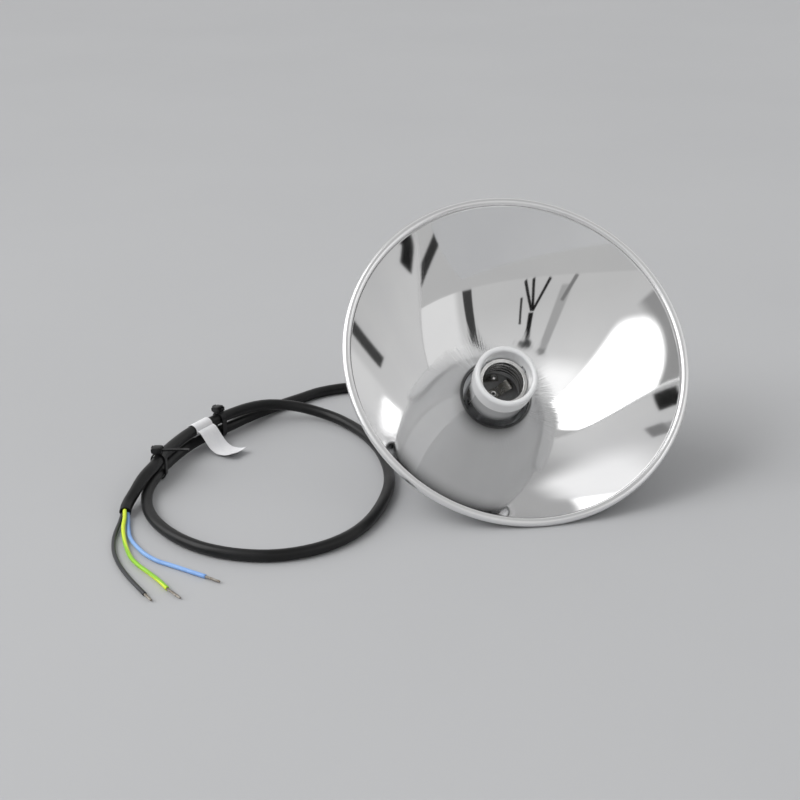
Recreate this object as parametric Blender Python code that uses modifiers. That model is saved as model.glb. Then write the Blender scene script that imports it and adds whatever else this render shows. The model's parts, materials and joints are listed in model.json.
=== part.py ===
"""Reflector lamp head: a spun bowl on a porcelain E27 lampholder, with its three-core cord.

The lamp is modelled along its own axis, mouth towards +Z, with the middle of the rim at the
origin of the empty "lamp". It lies on the table leaning on the rim's bead and on the edge of
the bracket's plate, and its mouth looks towards -Y. Sizes are metres, given here as MM.
"""

import math

import bmesh
import bpy
from mathutils import Matrix, Vector

MM = 0.001
GAP = 0.3 * MM

# Bowl
RIM_R = 105 * MM          # outside of the bead
BEAD_R = 2.5 * MM
BOWL_WALL = 1.0 * MM
BOWL_DEPTH = 64 * MM      # rim plane to the edge of the hole
NECK_R = 21 * MM          # inside
NECK_END = 79 * MM
BEAD_CENTRE_R = RIM_R - BEAD_R
BEAD_STEPS = 12
MOUTH_R = RIM_R - 2 * BEAD_R
BOWL_RINGS = [22.6, 27, 34, 42, 51, 60, 69, 78, 86, 93, 98.5]
RIVET_HOLE_R = 1.9 * MM

# Porcelain lampholder, in depths below the rim plane
HOLDER_FLOOR = 66 * MM
HOLDER_REAR = 78 * MM
HOLDER_LINE = [(0, -66), (14.8, -66), (14.8, -43.2), (15.5, -42.4), (16.1, -33.4), (16.6, -31.5),
               (17.6, -30.7), (18.5, -30.7), (19.4, -31.3), (19.8, -32.6), (19.8, -43.4),
               (19.4, -44.0), (18.6, -44.4), (18.6, -77), (17.8, -78), (0, -78)]
NOTCH_SIZE = (3 * MM, 4.5 * MM, 3.4 * MM)
NOTCH_R = 15.2 * MM
NOTCH_DEPTH = 42 * MM
NOTCH_ANGLES = (25, 130)
FLAT_SIZE = (6 * MM, 16 * MM, 34 * MM)
FLAT_X = 20.6 * MM
FLAT_DEPTH = 62.5 * MM
BLIND_TOP = 70.4 * MM     # end of the blind screw holes

# E27 shell
SHELL_TOP = 41.2 * MM
SHELL_END = 58 * MM
SHELL_R = 13.55 * MM      # mean of crest and root
THREAD_HALF = 0.45 * MM
THREAD_PITCH = 3.62 * MM
SHELL_WALL = 0.4 * MM

# Contacts, riveted to the floor of the holder
EYELET_XY = (-1.6 * MM, 0.8 * MM)
STRAP_XY = (0.5 * MM, 11.8 * MM)
EYELET_END = 77.6 * MM
RIVET_END = 68.4 * MM
RIVET_R = 1.5 * MM
STRIP = 0.6 * MM
LEAF_WIDTH = 6.8 * MM
LEAF_TURN = math.radians(24)
LEAF_LINE = [(0.4, 0.1), (2.4, 1.3), (4.8, 2.9), (6.6, 4.1), (8.0, 4.6), (9.4, 4.3), (10.4, 3.5)]
FOOT_REACH = 3 * MM       # past the eyelet
STRAP_SIZE = (12.4 * MM, 4.6 * MM, STRIP)
STRAP_SHIFT = 3.4 * MM
TAB_X = 9.3 * MM          # from the rivet to the tab that touches the shell
TERMINAL_SIZE = (5.5 * MM, 8 * MM, 7 * MM)
TERMINAL_NEUTRAL = (-7 * MM, -7 * MM)
TERMINAL_LINE = (-7 * MM, 7.5 * MM)
TERMINAL_SCREW_X = 1.2 * MM
TERMINAL_SCREW = [(0, 7.2), (1.9, 7.0), (2.3, 6.4), (2.3, 4.4), (1.5, 4.4), (1.5, 2.6), (0, 2.6)]
HINGE_S = 3.2 * MM        # from the eyelet's axis, along the leaf

# Bracket
PLATE_DEPTH = 89.5 * MM   # rim plane to the plate's rear face
STEEL = 1.5 * MM
PLATE_X = 47.8 * MM
PLATE_Y = 44 * MM
LEG_WIDTH = 30 * MM
LEG_TOP = 67 * MM
LEG_INSIDE = 22.4 * MM
NECK_RIVET_DEPTH = 74 * MM
SPACER_Y = 13 * MM
EARTH_XY = (-15 * MM, 0.0)
GLAND_XY = (10 * MM, 5 * MM)
SCREW_R = 2.0 * MM
CLEAR_R = SCREW_R + GAP
PLATE_HOLES = [("gland", 6.3 * MM, GLAND_XY), ("earth", CLEAR_R, EARTH_XY),
               ("upper", CLEAR_R, (0, SPACER_Y)), ("lower", CLEAR_R, (0, -SPACER_Y)),
               ("fixing_a", 2.2 * MM, (-17 * MM, -16 * MM)),
               ("fixing_b", 2.2 * MM, (17 * MM, 17 * MM))]
SPACER_R = 3.5 * MM
HEAD_R = 3.5 * MM
HEAD_HIGH = 2 * MM
BASE_SCREW_TIP = 70.9 * MM
EARTH_SCREW_TIP = 80.6 * MM

# Gland, in distances behind the plate's rear face
GLAND_FLATS = 15 * MM
GLAND_SLEEVE_R = 6 * MM
GLAND_SLEEVE_TOP = 83.7 * MM   # a depth below the rim plane
GLAND_FLANGE = 3.8 * MM
LOCKNUT_DEPTHS = (87.7 * MM, 84.7 * MM)
LOCKNUT_HOLE_R = 6.3 * MM

# Cord
CORD_R = 3.45 * MM
CORE_R = 1.2 * MM
STRAND_R = 0.75 * MM
GLAND_HOLE_R = CORD_R + 0.4 * MM
CORD_START = 86           # depths of the cord's first points; the jacket ends in the gland
CORD_LEAVES = (CORD_START, 93, 100)
TIE_STRAP = 0.9 * MM
TIE_WIDTH = 3.6 * MM
LOW = 3.6 * MM            # axis of a strand that lies on the table
TIED_LOW = 4.7 * MM       # axes of the two strands held by the ties
TIED_HIGH = 12.9 * MM

# The stretch where the ties hold one strand on top of the other, from above
TIED = [(-164, 92.5), (-178, 81.5), (-190.5, 69.5), (-201, 55), (-210, 39.5), (-216, 25)]
# From the gland to the tied stretch, round the loop and back over it to the bare end
FIRST = [(9.7, 84, 5.9), (8, 94, 4.2), (3.5, 106, LOW / MM), (-4.5, 118, LOW / MM),
         (-17, 129, LOW / MM), (-34, 137, LOW / MM), (-56, 142, LOW / MM),
         (-79, 143.5, LOW / MM), (-98, 139.5, LOW / MM), (-113, 131, LOW / MM),
         (-127, 122.5, 3.8), (-141, 112.5, 4.2), (-153, 102.5, 4.6)]
LOOP = [(-221, 11, 4.3), (-223, -3, LOW / MM), (-222.5, -17, LOW / MM), (-218.5, -34, LOW / MM),
        (-209, -53, LOW / MM), (-195, -69, LOW / MM), (-177, -80, LOW / MM),
        (-157, -85, LOW / MM), (-136, -82.5, LOW / MM), (-117, -73, LOW / MM),
        (-101.5, -57.5, LOW / MM), (-89, -36, LOW / MM), (-79.5, -11, LOW / MM),
        (-75.5, 14, LOW / MM), (-76, 41, LOW / MM), (-81.5, 66, 3.8), (-92, 87, 4.6),
        (-105, 99.5, 6.4), (-120, 106.5, 9.0), (-137, 106, 11.8), (-151, 100.5, 12.9)]
LAST = [(-223.5, 12.5, 11.2), (-230, -0.5, 7.6), (-234.5, -9.5, 4.9), (-235.9, -16.5, 4.0)]

CORES = {
    "black": ([(-237.6, -17.5, 3.2), (-239.3, -25, 2.3), (-241.8, -34, 1.5), (-243.7, -45, 1.4),
               (-244.2, -58, 1.4), (-242.8, -70, 1.4), (-240, -82, 1.4), (-236, -94, 1.4),
               (-230, -109.5, 1.4)],
              [(-230, -109.5, 1.4), (-227, -116.5, 1.3)]),
    "green_yellow": ([(-236.1, -17.5, 5.4), (-236.6, -25, 4.5), (-237.9, -34, 3.1),
                      (-238, -44, 1.9), (-237.3, -54, 1.4), (-235.6, -66, 1.4),
                      (-232.2, -76, 1.4), (-226.5, -87, 1.4), (-221.5, -97, 1.4),
                      (-218, -106, 1.4)],
                     [(-218, -106, 1.4), (-212, -117, 1.3)]),
    "blue": ([(-234.6, -17.5, 3.2), (-234.8, -25, 2.1), (-235, -34, 1.5), (-234.4, -45, 1.4),
              (-231.6, -55, 1.4), (-227.5, -65, 1.4), (-221.5, -74, 1.4), (-214, -81, 1.4),
              (-206, -88.5, 1.4), (-197, -97, 1.4)],
             [(-197, -97, 1.4), (-190, -104, 1.3)]),
}

COLOURS = {                # base colour, roughness, metallic
    "polished_aluminium": ((0.86, 0.86, 0.88), 0.12, 1.0),
    "porcelain": ((0.82, 0.83, 0.85), 0.15, 0.0),
    "nickel": ((0.66, 0.65, 0.62), 0.22, 1.0),
    "brass": ((0.72, 0.55, 0.28), 0.3, 1.0),
    "steel": ((0.55, 0.56, 0.58), 0.35, 1.0),
    "black_rubber": ((0.012, 0.012, 0.013), 0.42, 0.0),
    "black_plastic": ((0.02, 0.02, 0.021), 0.4, 0.0),
    "black_core": ((0.045, 0.045, 0.05), 0.4, 0.0),
    "green_yellow_core": ((0.38, 0.68, 0.08), 0.4, 0.0),
    "blue_core": ((0.22, 0.42, 0.75), 0.4, 0.0),
    "tinned_copper": ((0.5, 0.49, 0.46), 0.35, 1.0),
    "paper": ((0.86, 0.86, 0.87), 0.7, 0.0),
}

for old in list(bpy.data.objects):
    bpy.data.objects.remove(old)
PARTS = bpy.data.collections.new("reflector_lamp")
CUTTERS = bpy.data.collections.new("cutters")
bpy.context.scene.collection.children.link(PARTS)
bpy.context.scene.collection.children.link(CUTTERS)


def make_material(name):
    colour, roughness, metallic = COLOURS[name]
    material = bpy.data.materials.new(name)
    material.use_nodes = True
    shader = material.node_tree.nodes["Principled BSDF"]
    shader.inputs["Base Color"].default_value = (*colour, 1)
    shader.inputs["Roughness"].default_value = roughness
    shader.inputs["Metallic"].default_value = metallic
    return material


MATERIALS = {name: make_material(name) for name in COLOURS}


def add(name, data, material, parent=None):
    """A new object of the lamp, in the lamp's own frame if it has that parent."""
    made = bpy.data.objects.new(name, data)
    PARTS.objects.link(made)
    made.data.materials.append(MATERIALS[material])
    made.parent = parent
    return made


def turned(name, profile, steps, material, parent, closed=False, at=(0, 0)):
    """A profile of (radius, height) points turned about Z. It runs down its outer side."""
    mesh = bpy.data.meshes.new(name)
    count = len(profile)
    edges = [(i, i + 1) for i in range(count - 1)] + ([(count - 1, 0)] if closed else [])
    mesh.from_pydata([(r, 0, z) for r, z in profile], edges, [])
    made = add(name, mesh, material, parent)
    made.location = (*at, 0)
    screw = made.modifiers.new("turn", "SCREW")
    screw.axis = "Z"
    screw.steps = screw.render_steps = steps
    screw.use_merge_vertices = True
    screw.merge_threshold = 0.00001
    screw.use_smooth_shade = True
    return made


def from_bmesh(name, shape, material, parent):
    mesh = bpy.data.meshes.new(name)
    bmesh.ops.recalc_face_normals(shape, faces=shape.faces)
    shape.to_mesh(mesh)
    shape.free()
    return add(name, mesh, material, parent)


def box(name, size, centre, material="steel", parent=None):
    shape = bmesh.new()
    bmesh.ops.create_cube(shape, size=1, matrix=Matrix.Translation(centre) @ Matrix.Diagonal((*size, 1)))
    return from_bmesh(name, shape, material, parent)


def cylinder(name, radius, low, high, at, material="steel", parent=None, sides=24, turn=None):
    """A round bar, or a hexagonal one of 6 sides, from low to high along Z, or along turn @ Z."""
    shape = bmesh.new()
    place = Matrix.Translation((*at, (low + high) / 2))
    if turn:
        place = turn @ place
    bmesh.ops.create_cone(shape, cap_ends=True, segments=sides, radius1=radius,
                          radius2=radius, depth=high - low, matrix=place)
    return from_bmesh(name, shape, material, parent)


def use(target, tool, operation):
    """Cuts the tool from the target, or joins it on, and keeps the tool as a hidden helper."""
    for holder in tool.users_collection:
        holder.objects.unlink(tool)
    CUTTERS.objects.link(tool)
    tool.hide_render = True
    tool.display_type = "WIRE"
    step = target.modifiers.new(tool.name, "BOOLEAN")
    step.operation = operation
    step.object = tool
    step.solver = "EXACT"


def tube(name, points, radius, material, parent=None, resolution=2):
    """A round cord or wire through the points, which are in metres."""
    curve = bpy.data.curves.new(name, "CURVE")
    curve.dimensions = "3D"
    curve.bevel_depth = radius
    curve.bevel_resolution = resolution
    curve.use_fill_caps = True
    spline = curve.splines.new("POLY")
    spline.points.add(len(points) - 1)
    for point, place in zip(spline.points, points):
        point.co = (*place, 1)
    return add(name, curve, material, parent)


def smooth_route(points, spacing):
    """Evenly spaced points on a smooth curve (Catmull-Rom) through the given ones."""
    knots = [Vector(p) for p in points]
    knots = [2 * knots[0] - knots[1]] + knots + [2 * knots[-1] - knots[-2]]
    fine = []
    for a, b, c, d in zip(knots, knots[1:], knots[2:], knots[3:]):
        for step in range(24):
            t = step / 24
            fine.append(0.5 * (2 * b + (c - a) * t + (2 * a - 5 * b + 4 * c - d) * t * t
                               + (3 * b - a - 3 * c + d) * t ** 3))
    fine.append(knots[-2])
    lengths = [0.0]
    for a, b in zip(fine, fine[1:]):
        lengths.append(lengths[-1] + (b - a).length)
    count = max(2, round(lengths[-1] / spacing))
    result = []
    here = 0
    for i in range(count + 1):
        want = lengths[-1] * i / count
        while here < len(fine) - 2 and lengths[here + 1] < want:
            here += 1
        part = (want - lengths[here]) / (lengths[here + 1] - lengths[here])
        result.append(fine[here].lerp(fine[here + 1], min(part, 1)))
    return result


def in_mm(points):
    return [Vector(p) * MM for p in points]


def as_mesh(thing):
    """The same object as a mesh, its caps welded to its sides."""
    bpy.context.view_layer.update()
    graph = bpy.context.evaluated_depsgraph_get()
    mesh = bpy.data.meshes.new_from_object(thing.evaluated_get(graph))
    shape = bmesh.new()
    shape.from_mesh(mesh)
    bmesh.ops.remove_doubles(shape, verts=shape.verts, dist=0.00001)
    bmesh.ops.recalc_face_normals(shape, faces=shape.faces)
    shape.to_mesh(mesh)
    shape.free()
    name, place, parent = thing.name, thing.matrix_world.copy(), thing.parent
    old_data = thing.data
    bpy.data.objects.remove(thing)
    bpy.data.curves.remove(old_data)
    made = bpy.data.objects.new(name, mesh)
    PARTS.objects.link(made)
    made.parent = parent
    made.matrix_world = place
    return made


def flat_outline(name, loops, thickness, material, parent=None):
    """A plate in XY, centred on Z, whose outer loop comes first and its holes after it."""
    curve = bpy.data.curves.new(name, "CURVE")
    curve.dimensions = "2D"
    curve.fill_mode = "BOTH"
    curve.extrude = thickness / 2
    for loop in loops:
        spline = curve.splines.new("POLY")
        spline.points.add(len(loop) - 1)
        spline.use_cyclic_u = True
        for point, (x, y) in zip(spline.points, loop):
            point.co = (x, y, 0, 1)
    return add(name, curve, material, parent)


def rounded_loop(width, height, radius, steps=5):
    """The corners of a rectangle with round corners, centred on the origin."""
    loop = []
    for sx, sy, start in ((1, 1, 0), (-1, 1, 90), (-1, -1, 180), (1, -1, 270)):
        for i in range(steps + 1):
            angle = math.radians(start + 90 * i / steps)
            loop.append((sx * (width / 2 - radius) + radius * math.cos(angle),
                         sy * (height / 2 - radius) + radius * math.sin(angle)))
    return loop


def lean_angle():
    """The lamp's lean from upright, resting on its bead and on the near edge of the plate."""
    across = BEAD_CENTRE_R - PLATE_Y / 2
    reach = math.hypot(PLATE_DEPTH, across)
    return math.acos(BEAD_R / reach) - math.atan2(across, PLATE_DEPTH)


def bowl_height(radius):
    """The parabola of the reflecting surface: 0 at the bead and -BOWL_DEPTH at the hole."""
    return BOWL_DEPTH * ((radius ** 2 - NECK_R ** 2) / (MOUTH_R ** 2 - NECK_R ** 2) - 1)


def bowl_slope(radius):
    return 2 * radius * BOWL_DEPTH / (MOUTH_R ** 2 - NECK_R ** 2)


def reflector_bowl(lamp):
    bead = []
    for step in range(BEAD_STEPS):
        angle = math.pi - 2 * math.pi * step / BEAD_STEPS
        bead.append((BEAD_CENTRE_R + BEAD_R * math.cos(angle), BEAD_R * math.sin(angle)))
    outside = []
    for ring in reversed(BOWL_RINGS):
        slope = math.atan(bowl_slope(ring * MM))
        outside.append((ring * MM + BOWL_WALL * math.sin(slope),
                        bowl_height(ring * MM) - BOWL_WALL * math.cos(slope)))
    inside = [(ring * MM, bowl_height(ring * MM)) for ring in BOWL_RINGS]
    neck = [(NECK_R + BOWL_WALL, -BOWL_DEPTH - 2 * MM), (NECK_R + BOWL_WALL, -NECK_END),
            (NECK_R, -NECK_END), (NECK_R, -BOWL_DEPTH - 1 * MM),
            (NECK_R + 0.4 * MM, -BOWL_DEPTH - 0.2 * MM)]
    bowl = turned("reflector_bowl", bead + outside + neck + inside, 56,
                  "polished_aluminium", lamp, closed=True)
    use(bowl, cross_bar("neck_holes", RIVET_HOLE_R, lamp), "DIFFERENCE")


def cross_bar(name, radius, lamp):
    """A bar along X at the height of the neck rivets."""
    place = Matrix.Translation((0, 0, -NECK_RIVET_DEPTH)) @ Matrix.Rotation(math.pi / 2, 4, "Y")
    return cylinder(name, radius, -40 * MM, 40 * MM, (0, 0), parent=lamp, sides=16, turn=place)


def porcelain_holder(lamp):
    holder = turned("porcelain_holder", [(r * MM, z * MM) for r, z in HOLDER_LINE], 40,
                    "porcelain", lamp)
    for side in (-1, 1):
        flat = box(f"holder_flat_{side}", FLAT_SIZE, (side * FLAT_X, 0, -FLAT_DEPTH), parent=lamp)
        use(holder, flat, "DIFFERENCE")
        blind = cylinder(f"holder_blind_{side}", CLEAR_R, -HOLDER_REAR - MM, -BLIND_TOP,
                         (0, side * SPACER_Y), parent=lamp, sides=16)
        use(holder, blind, "DIFFERENCE")
    for name, place, end in (("eyelet", EYELET_XY, HOLDER_REAR + 2 * MM),
                             ("strap", STRAP_XY, RIVET_END + 0.4 * MM)):
        hole = cylinder(f"holder_{name}_hole", RIVET_R + GAP, -end, -HOLDER_FLOOR + 6 * MM,
                        place, parent=lamp, sides=16)
        use(holder, hole, "DIFFERENCE")
    for number, angle in enumerate(NOTCH_ANGLES):
        turn = Matrix.Rotation(math.radians(angle), 4, "Z")
        notch = box(f"holder_notch_{number}", NOTCH_SIZE,
                    turn @ Vector((NOTCH_R, 0, -NOTCH_DEPTH)), parent=lamp)
        use(holder, notch, "DIFFERENCE")


def threaded_shell(lamp):
    """A thin sheet shell with a rolled thread, its lip turned outwards at the mouth."""
    line = [(SHELL_R + 0.75 * MM, -SHELL_TOP - 0.1 * MM), (SHELL_R + 0.1 * MM, -SHELL_TOP)]
    start = SHELL_TOP + 1.4 * MM
    count = 13
    for i in range(count + 1):
        depth = start + (SHELL_END - start) * i / count
        wave = math.cos(2 * math.pi * (depth - start) / THREAD_PITCH)
        line.append((SHELL_R + THREAD_HALF * wave, -depth))
    shell = turned("threaded_shell", line, 30, "nickel", lamp)
    wall = shell.modifiers.new("wall", "SOLIDIFY")
    wall.thickness = SHELL_WALL
    wall.offset = 0


def leaf_frame(lamp):
    """An empty on the leaf's hinge line, its X along the leaf away from the eyelet."""
    empty = bpy.data.objects.new("leaf_hinge", None)
    PARTS.objects.link(empty)
    empty.parent = lamp
    empty.location = (EYELET_XY[0] + HINGE_S * math.cos(LEAF_TURN),
                      EYELET_XY[1] + HINGE_S * math.sin(LEAF_TURN),
                      -HOLDER_FLOOR + GAP + STRIP / 2)
    empty.rotation_euler = (0, 0, LEAF_TURN)
    return empty


def side_strip(name, line, width, thickness, material, parent):
    """A bent strip: a line of (along, up) points thickened, then widened across."""
    upper = []
    lower = []
    for i, point in enumerate(line):
        before = Vector(line[max(i - 1, 0)])
        after = Vector(line[min(i + 1, len(line) - 1)])
        along = (after - before).normalized()
        normal = Vector((-along.y, along.x)) * thickness / 2
        upper.append(Vector(point) + normal)
        lower.append(Vector(point) - normal)
    strip = flat_outline(name, [[tuple(p) for p in upper + lower[::-1]]], width, material, parent)
    strip.rotation_euler = (math.pi / 2, 0, 0)
    return strip


def contacts(lamp):
    hinge = leaf_frame(lamp)
    side_strip("centre_contact_leaf", [(x * MM, z * MM) for x, z in LEAF_LINE], LEAF_WIDTH, STRIP,
               "brass", hinge)
    foot = box("centre_contact_foot", (HINGE_S + FOOT_REACH - GAP, LEAF_WIDTH, STRIP),
               ((-HINGE_S - FOOT_REACH - GAP) / 2, 0, 0), "brass", hinge)
    use(foot, cylinder("foot_hole", RIVET_R + GAP, -2 * MM, 2 * MM, (-HINGE_S, 0),
                       parent=hinge, sides=16), "DIFFERENCE")
    floor = -HOLDER_FLOOR + GAP
    strap = box("side_contact_strap", STRAP_SIZE,
                (STRAP_XY[0] - STRAP_SHIFT, STRAP_XY[1], floor + STRIP / 2), "brass", lamp)
    tab = box("strap_tab", (STRIP, STRAP_SIZE[1], HOLDER_FLOOR - SHELL_END - 2 * GAP),
              (STRAP_XY[0] - TAB_X, STRAP_XY[1], (floor - SHELL_END - GAP) / 2), parent=lamp)
    use(strap, tab, "UNION")
    trim = turned("strap_trim", [(20 * MM, -50 * MM), (20 * MM, -70 * MM),
                                 (14.4 * MM, -70 * MM), (14.4 * MM, -50 * MM)], 40,
                  "steel", lamp, closed=True)
    use(strap, trim, "DIFFERENCE")
    use(strap, cylinder("strap_hole", RIVET_R + GAP, -70 * MM, -60 * MM, STRAP_XY,
                        parent=lamp, sides=16), "DIFFERENCE")


def rivets(lamp):
    """A hollow eyelet for the leaf and a solid rivet for the strap."""
    top = -HOLDER_FLOOR + 2 * GAP + STRIP
    foot = -EYELET_END
    eyelet = [(0.8, top / MM + 0.9), (1.4, top / MM + 1.1), (2.1, top / MM + 0.7),
              (2.3, top / MM), (1.5, top / MM), (1.5, foot / MM), (0.8, foot / MM)]
    turned("contact_eyelet", [(r * MM, z * MM) for r, z in eyelet], 16, "nickel", lamp,
           closed=True, at=EYELET_XY)
    rivet = [(0, top / MM + 1.2), (1.2, top / MM + 1.0), (2.0, top / MM + 0.5),
             (2.2, top / MM), (1.5, top / MM), (1.5, -RIVET_END / MM), (0, -RIVET_END / MM)]
    turned("strap_rivet", [(r * MM, z * MM) for r, z in rivet], 16, "nickel", lamp, at=STRAP_XY)


def terminals(lamp):
    """Brass blocks behind the holder: a wire enters from +X and its screw from the far side."""
    middle = -HOLDER_REAR - GAP - TERMINAL_SIZE[2] / 2
    for name, (x, y), side in (("neutral", TERMINAL_NEUTRAL, -1), ("line", TERMINAL_LINE, 1)):
        block = box(f"terminal_block_{name}", TERMINAL_SIZE, (x, y, middle), "brass", lamp)
        along_x = Matrix.Translation((x, y, middle)) @ Matrix.Rotation(math.pi / 2, 4, "Y")
        wire_hole = cylinder(f"wire_hole_{name}", CORE_R + GAP, 0.0, 6 * MM, (0, 0),
                             parent=lamp, sides=12, turn=along_x)
        use(block, wire_hole, "DIFFERENCE")
        along_y = Matrix.Translation((x - TERMINAL_SCREW_X, y, middle)) @ Matrix.Rotation(
            -side * math.pi / 2, 4, "X")
        screw_hole = cylinder(f"screw_hole_{name}", 1.5 * MM + GAP, 2.2 * MM, 9 * MM, (0, 0),
                              parent=lamp, sides=16, turn=along_y)
        use(block, screw_hole, "DIFFERENCE")
        screw = turned(f"terminal_screw_{name}", [(r * MM, z * MM) for r, z in TERMINAL_SCREW], 16,
                       "steel", lamp)
        screw.matrix_local = along_y
        slot = box(f"terminal_slot_{name}", (6 * MM, 0.6 * MM, 1.2 * MM), (0, 0, 7.2 * MM),
                   parent=lamp)
        slot.matrix_local = along_y
        use(screw, slot, "DIFFERENCE")


def mounting_bracket(lamp):
    """A plate behind the holder with two legs that straddle the neck."""
    plate = as_mesh(flat_outline("mounting_bracket", [rounded_loop(PLATE_X, PLATE_Y, 3 * MM)],
                                 STEEL, "steel", lamp))
    plate.location = (0, 0, -PLATE_DEPTH + STEEL / 2)
    for side in (-1, 1):
        leg = box(f"bracket_leg_{side}", (STEEL, LEG_WIDTH, PLATE_DEPTH - LEG_TOP - 0.4 * MM),
                  (side * (LEG_INSIDE + STEEL / 2), 0, -(PLATE_DEPTH + LEG_TOP - 0.4 * MM) / 2),
                  parent=lamp)
        use(plate, leg, "UNION")
    for name, radius, place in PLATE_HOLES:
        hole = cylinder(f"plate_hole_{name}", radius, -PLATE_DEPTH - STEEL,
                        -PLATE_DEPTH + 2 * STEEL, place, parent=lamp)
        use(plate, hole, "DIFFERENCE")
    use(plate, cross_bar("leg_holes", RIVET_HOLE_R, lamp), "DIFFERENCE")


def neck_rivets(lamp):
    """Blind rivets through the legs and the neck, with a small collar inside."""
    outer = LEG_INSIDE + STEEL + GAP
    inner = NECK_R - GAP
    profile = [(0, outer / MM + 1.1), (1.8, outer / MM + 0.9), (3.0, outer / MM + 0.3),
               (3.1, outer / MM), (1.6, outer / MM), (1.6, inner / MM), (2.2, inner / MM - 0.3),
               (2.2, inner / MM - 1.4), (1.5, inner / MM - 1.9), (0, inner / MM - 1.9)]
    for name, turn in (("left", -90), ("right", 90)):
        rivet = turned(f"neck_rivet_{name}", [(r * MM, z * MM) for r, z in profile], 16,
                       "steel", lamp)
        rivet.location = (0, 0, -NECK_RIVET_DEPTH)
        rivet.rotation_euler = (0, math.radians(turn), 0)


def pan_screw(name, at, tip, lamp):
    """A slotted screw from behind the plate, its head 2 mm high."""
    under = -PLATE_DEPTH - GAP
    profile = [(0, tip), (SCREW_R, tip), (SCREW_R, under), (HEAD_R, under),
               (HEAD_R, under - 1.3 * MM), (HEAD_R - 0.9 * MM, under - HEAD_HIGH),
               (0, under - HEAD_HIGH)]
    screw = turned(name, profile, 20, "steel", lamp, at=at)
    slot = box(f"{name}_slot", (9 * MM, 0.9 * MM, 2 * MM), (*at, under - 2.2 * MM), parent=lamp)
    use(screw, slot, "DIFFERENCE")


def holder_fixings(lamp):
    for name, side in (("lower", -1), ("upper", 1)):
        place = (0, side * SPACER_Y)
        ring = [(CLEAR_R, -HOLDER_REAR - GAP), (SPACER_R, -HOLDER_REAR - GAP),
                (SPACER_R, -PLATE_DEPTH + STEEL + GAP), (CLEAR_R, -PLATE_DEPTH + STEEL + GAP)]
        turned(f"spacer_{name}", ring, 20, "nickel", lamp, closed=True, at=place)
        pan_screw(f"base_screw_{name}", place, -BASE_SCREW_TIP, lamp)


def nut(name, across_flats, hole_r, low, high, at, material, lamp, sides=6):
    made = cylinder(name, across_flats / math.sqrt(3), low, high, at, material, lamp, sides=sides)
    hole = cylinder(f"{name}_hole", hole_r, low - MM, high + MM, at, parent=lamp, sides=20)
    use(made, hole, "DIFFERENCE")
    return made


def earth_point(lamp):
    """A lug, a washer and a nut inside the plate, on a screw from behind it."""
    pan_screw("earth_screw", EARTH_XY, -EARTH_SCREW_TIP, lamp)
    plate = -PLATE_DEPTH + STEEL
    lug = nut("earth_lug", 3.7 * math.sqrt(3) * MM, CLEAR_R, plate + GAP, plate + 1.1 * MM,
              EARTH_XY, "nickel", lamp, sides=20)
    use(lug, box("earth_tongue", (4.2 * MM, 3.2 * MM, 0.8 * MM),
                 (EARTH_XY[0] + 5.2 * MM, 0, plate + 0.7 * MM), parent=lamp), "UNION")
    nut("earth_washer", 3.9 * math.sqrt(3) * MM, CLEAR_R, plate + 1.4 * MM, plate + 2.1 * MM,
        EARTH_XY, "steel", lamp, sides=20)
    nut("earth_nut", 7 * MM, CLEAR_R, plate + 2.4 * MM, plate + 5.4 * MM, EARTH_XY, "steel", lamp)


def cable_gland(lamp):
    plate = -PLATE_DEPTH
    body = nut("gland_body", GLAND_FLATS, GLAND_HOLE_R, plate - GLAND_FLANGE, plate - GAP, GLAND_XY,
               "black_plastic", lamp)
    sleeve = turned("gland_sleeve", [(GLAND_HOLE_R, -GLAND_SLEEVE_TOP), (GLAND_SLEEVE_R, -GLAND_SLEEVE_TOP),
                                     (GLAND_SLEEVE_R, plate - 2 * MM),
                                     (GLAND_HOLE_R, plate - 2 * MM)],
                    20, "black_plastic", lamp, closed=True, at=GLAND_XY)
    use(body, sleeve, "UNION")
    low, high = (-depth for depth in LOCKNUT_DEPTHS)
    nut("gland_locknut", GLAND_FLATS, LOCKNUT_HOLE_R, low, high, GLAND_XY,
        "black_plastic", lamp)
    turned("gland_nut", [(6.2 * MM, plate - 4.1 * MM), (7.5 * MM, plate - 4.1 * MM),
                          (7.5 * MM, plate - 7 * MM), (6.2 * MM, plate - 9 * MM),
                          (GLAND_HOLE_R, plate - 9 * MM), (GLAND_HOLE_R, plate - 7.6 * MM),
                          (6.2 * MM, plate - 7.2 * MM)], 20, "black_plastic", lamp,
           closed=True, at=GLAND_XY)
    turned("gland_seal", [(GLAND_HOLE_R, plate - 4.2 * MM), (5.8 * MM, plate - 4.2 * MM),
                          (5.8 * MM, plate - 6.7 * MM), (GLAND_HOLE_R, plate - 7.1 * MM)], 20,
           "black_rubber", lamp, closed=True, at=GLAND_XY)


def inner_wires(lamp):
    """The three cores from the gland to the terminals and the earth lug."""
    routes = {
        "inner_wire_line": [(10.2, 6.7, -85.6), (9.6, 7.2, -82), (6.5, 7.4, -80.4),
                            (2, 7.5, -80.7), (-2, 7.5, -81.6), (-5.2, 7.5, -81.8)],
        "inner_wire_neutral": [(11.3, 4.0, -85.6), (11.2, 3, -82.4), (8.6, 0, -80.6),
                               (4, -4, -80.7), (-0.5, -6.6, -81.6), (-5.2, -7, -81.8)],
        "inner_wire_earth": [(8.5, 4.1, -85.6), (8.3, 4.0, -83.2), (6.6, 3.2, -81.5),
                             (3, 1.6, -81.6), (-0.8, 0.5, -83.4), (-4, 0, -85.2),
                             (-6.4, 0, -85.7)],
    }
    for (name, points), material in zip(routes.items(),
                                        ("black_core", "blue_core", "green_yellow_core")):
        tube(name, smooth_route(in_mm(points), 2.4 * MM), CORE_R, material, lamp)


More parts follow.
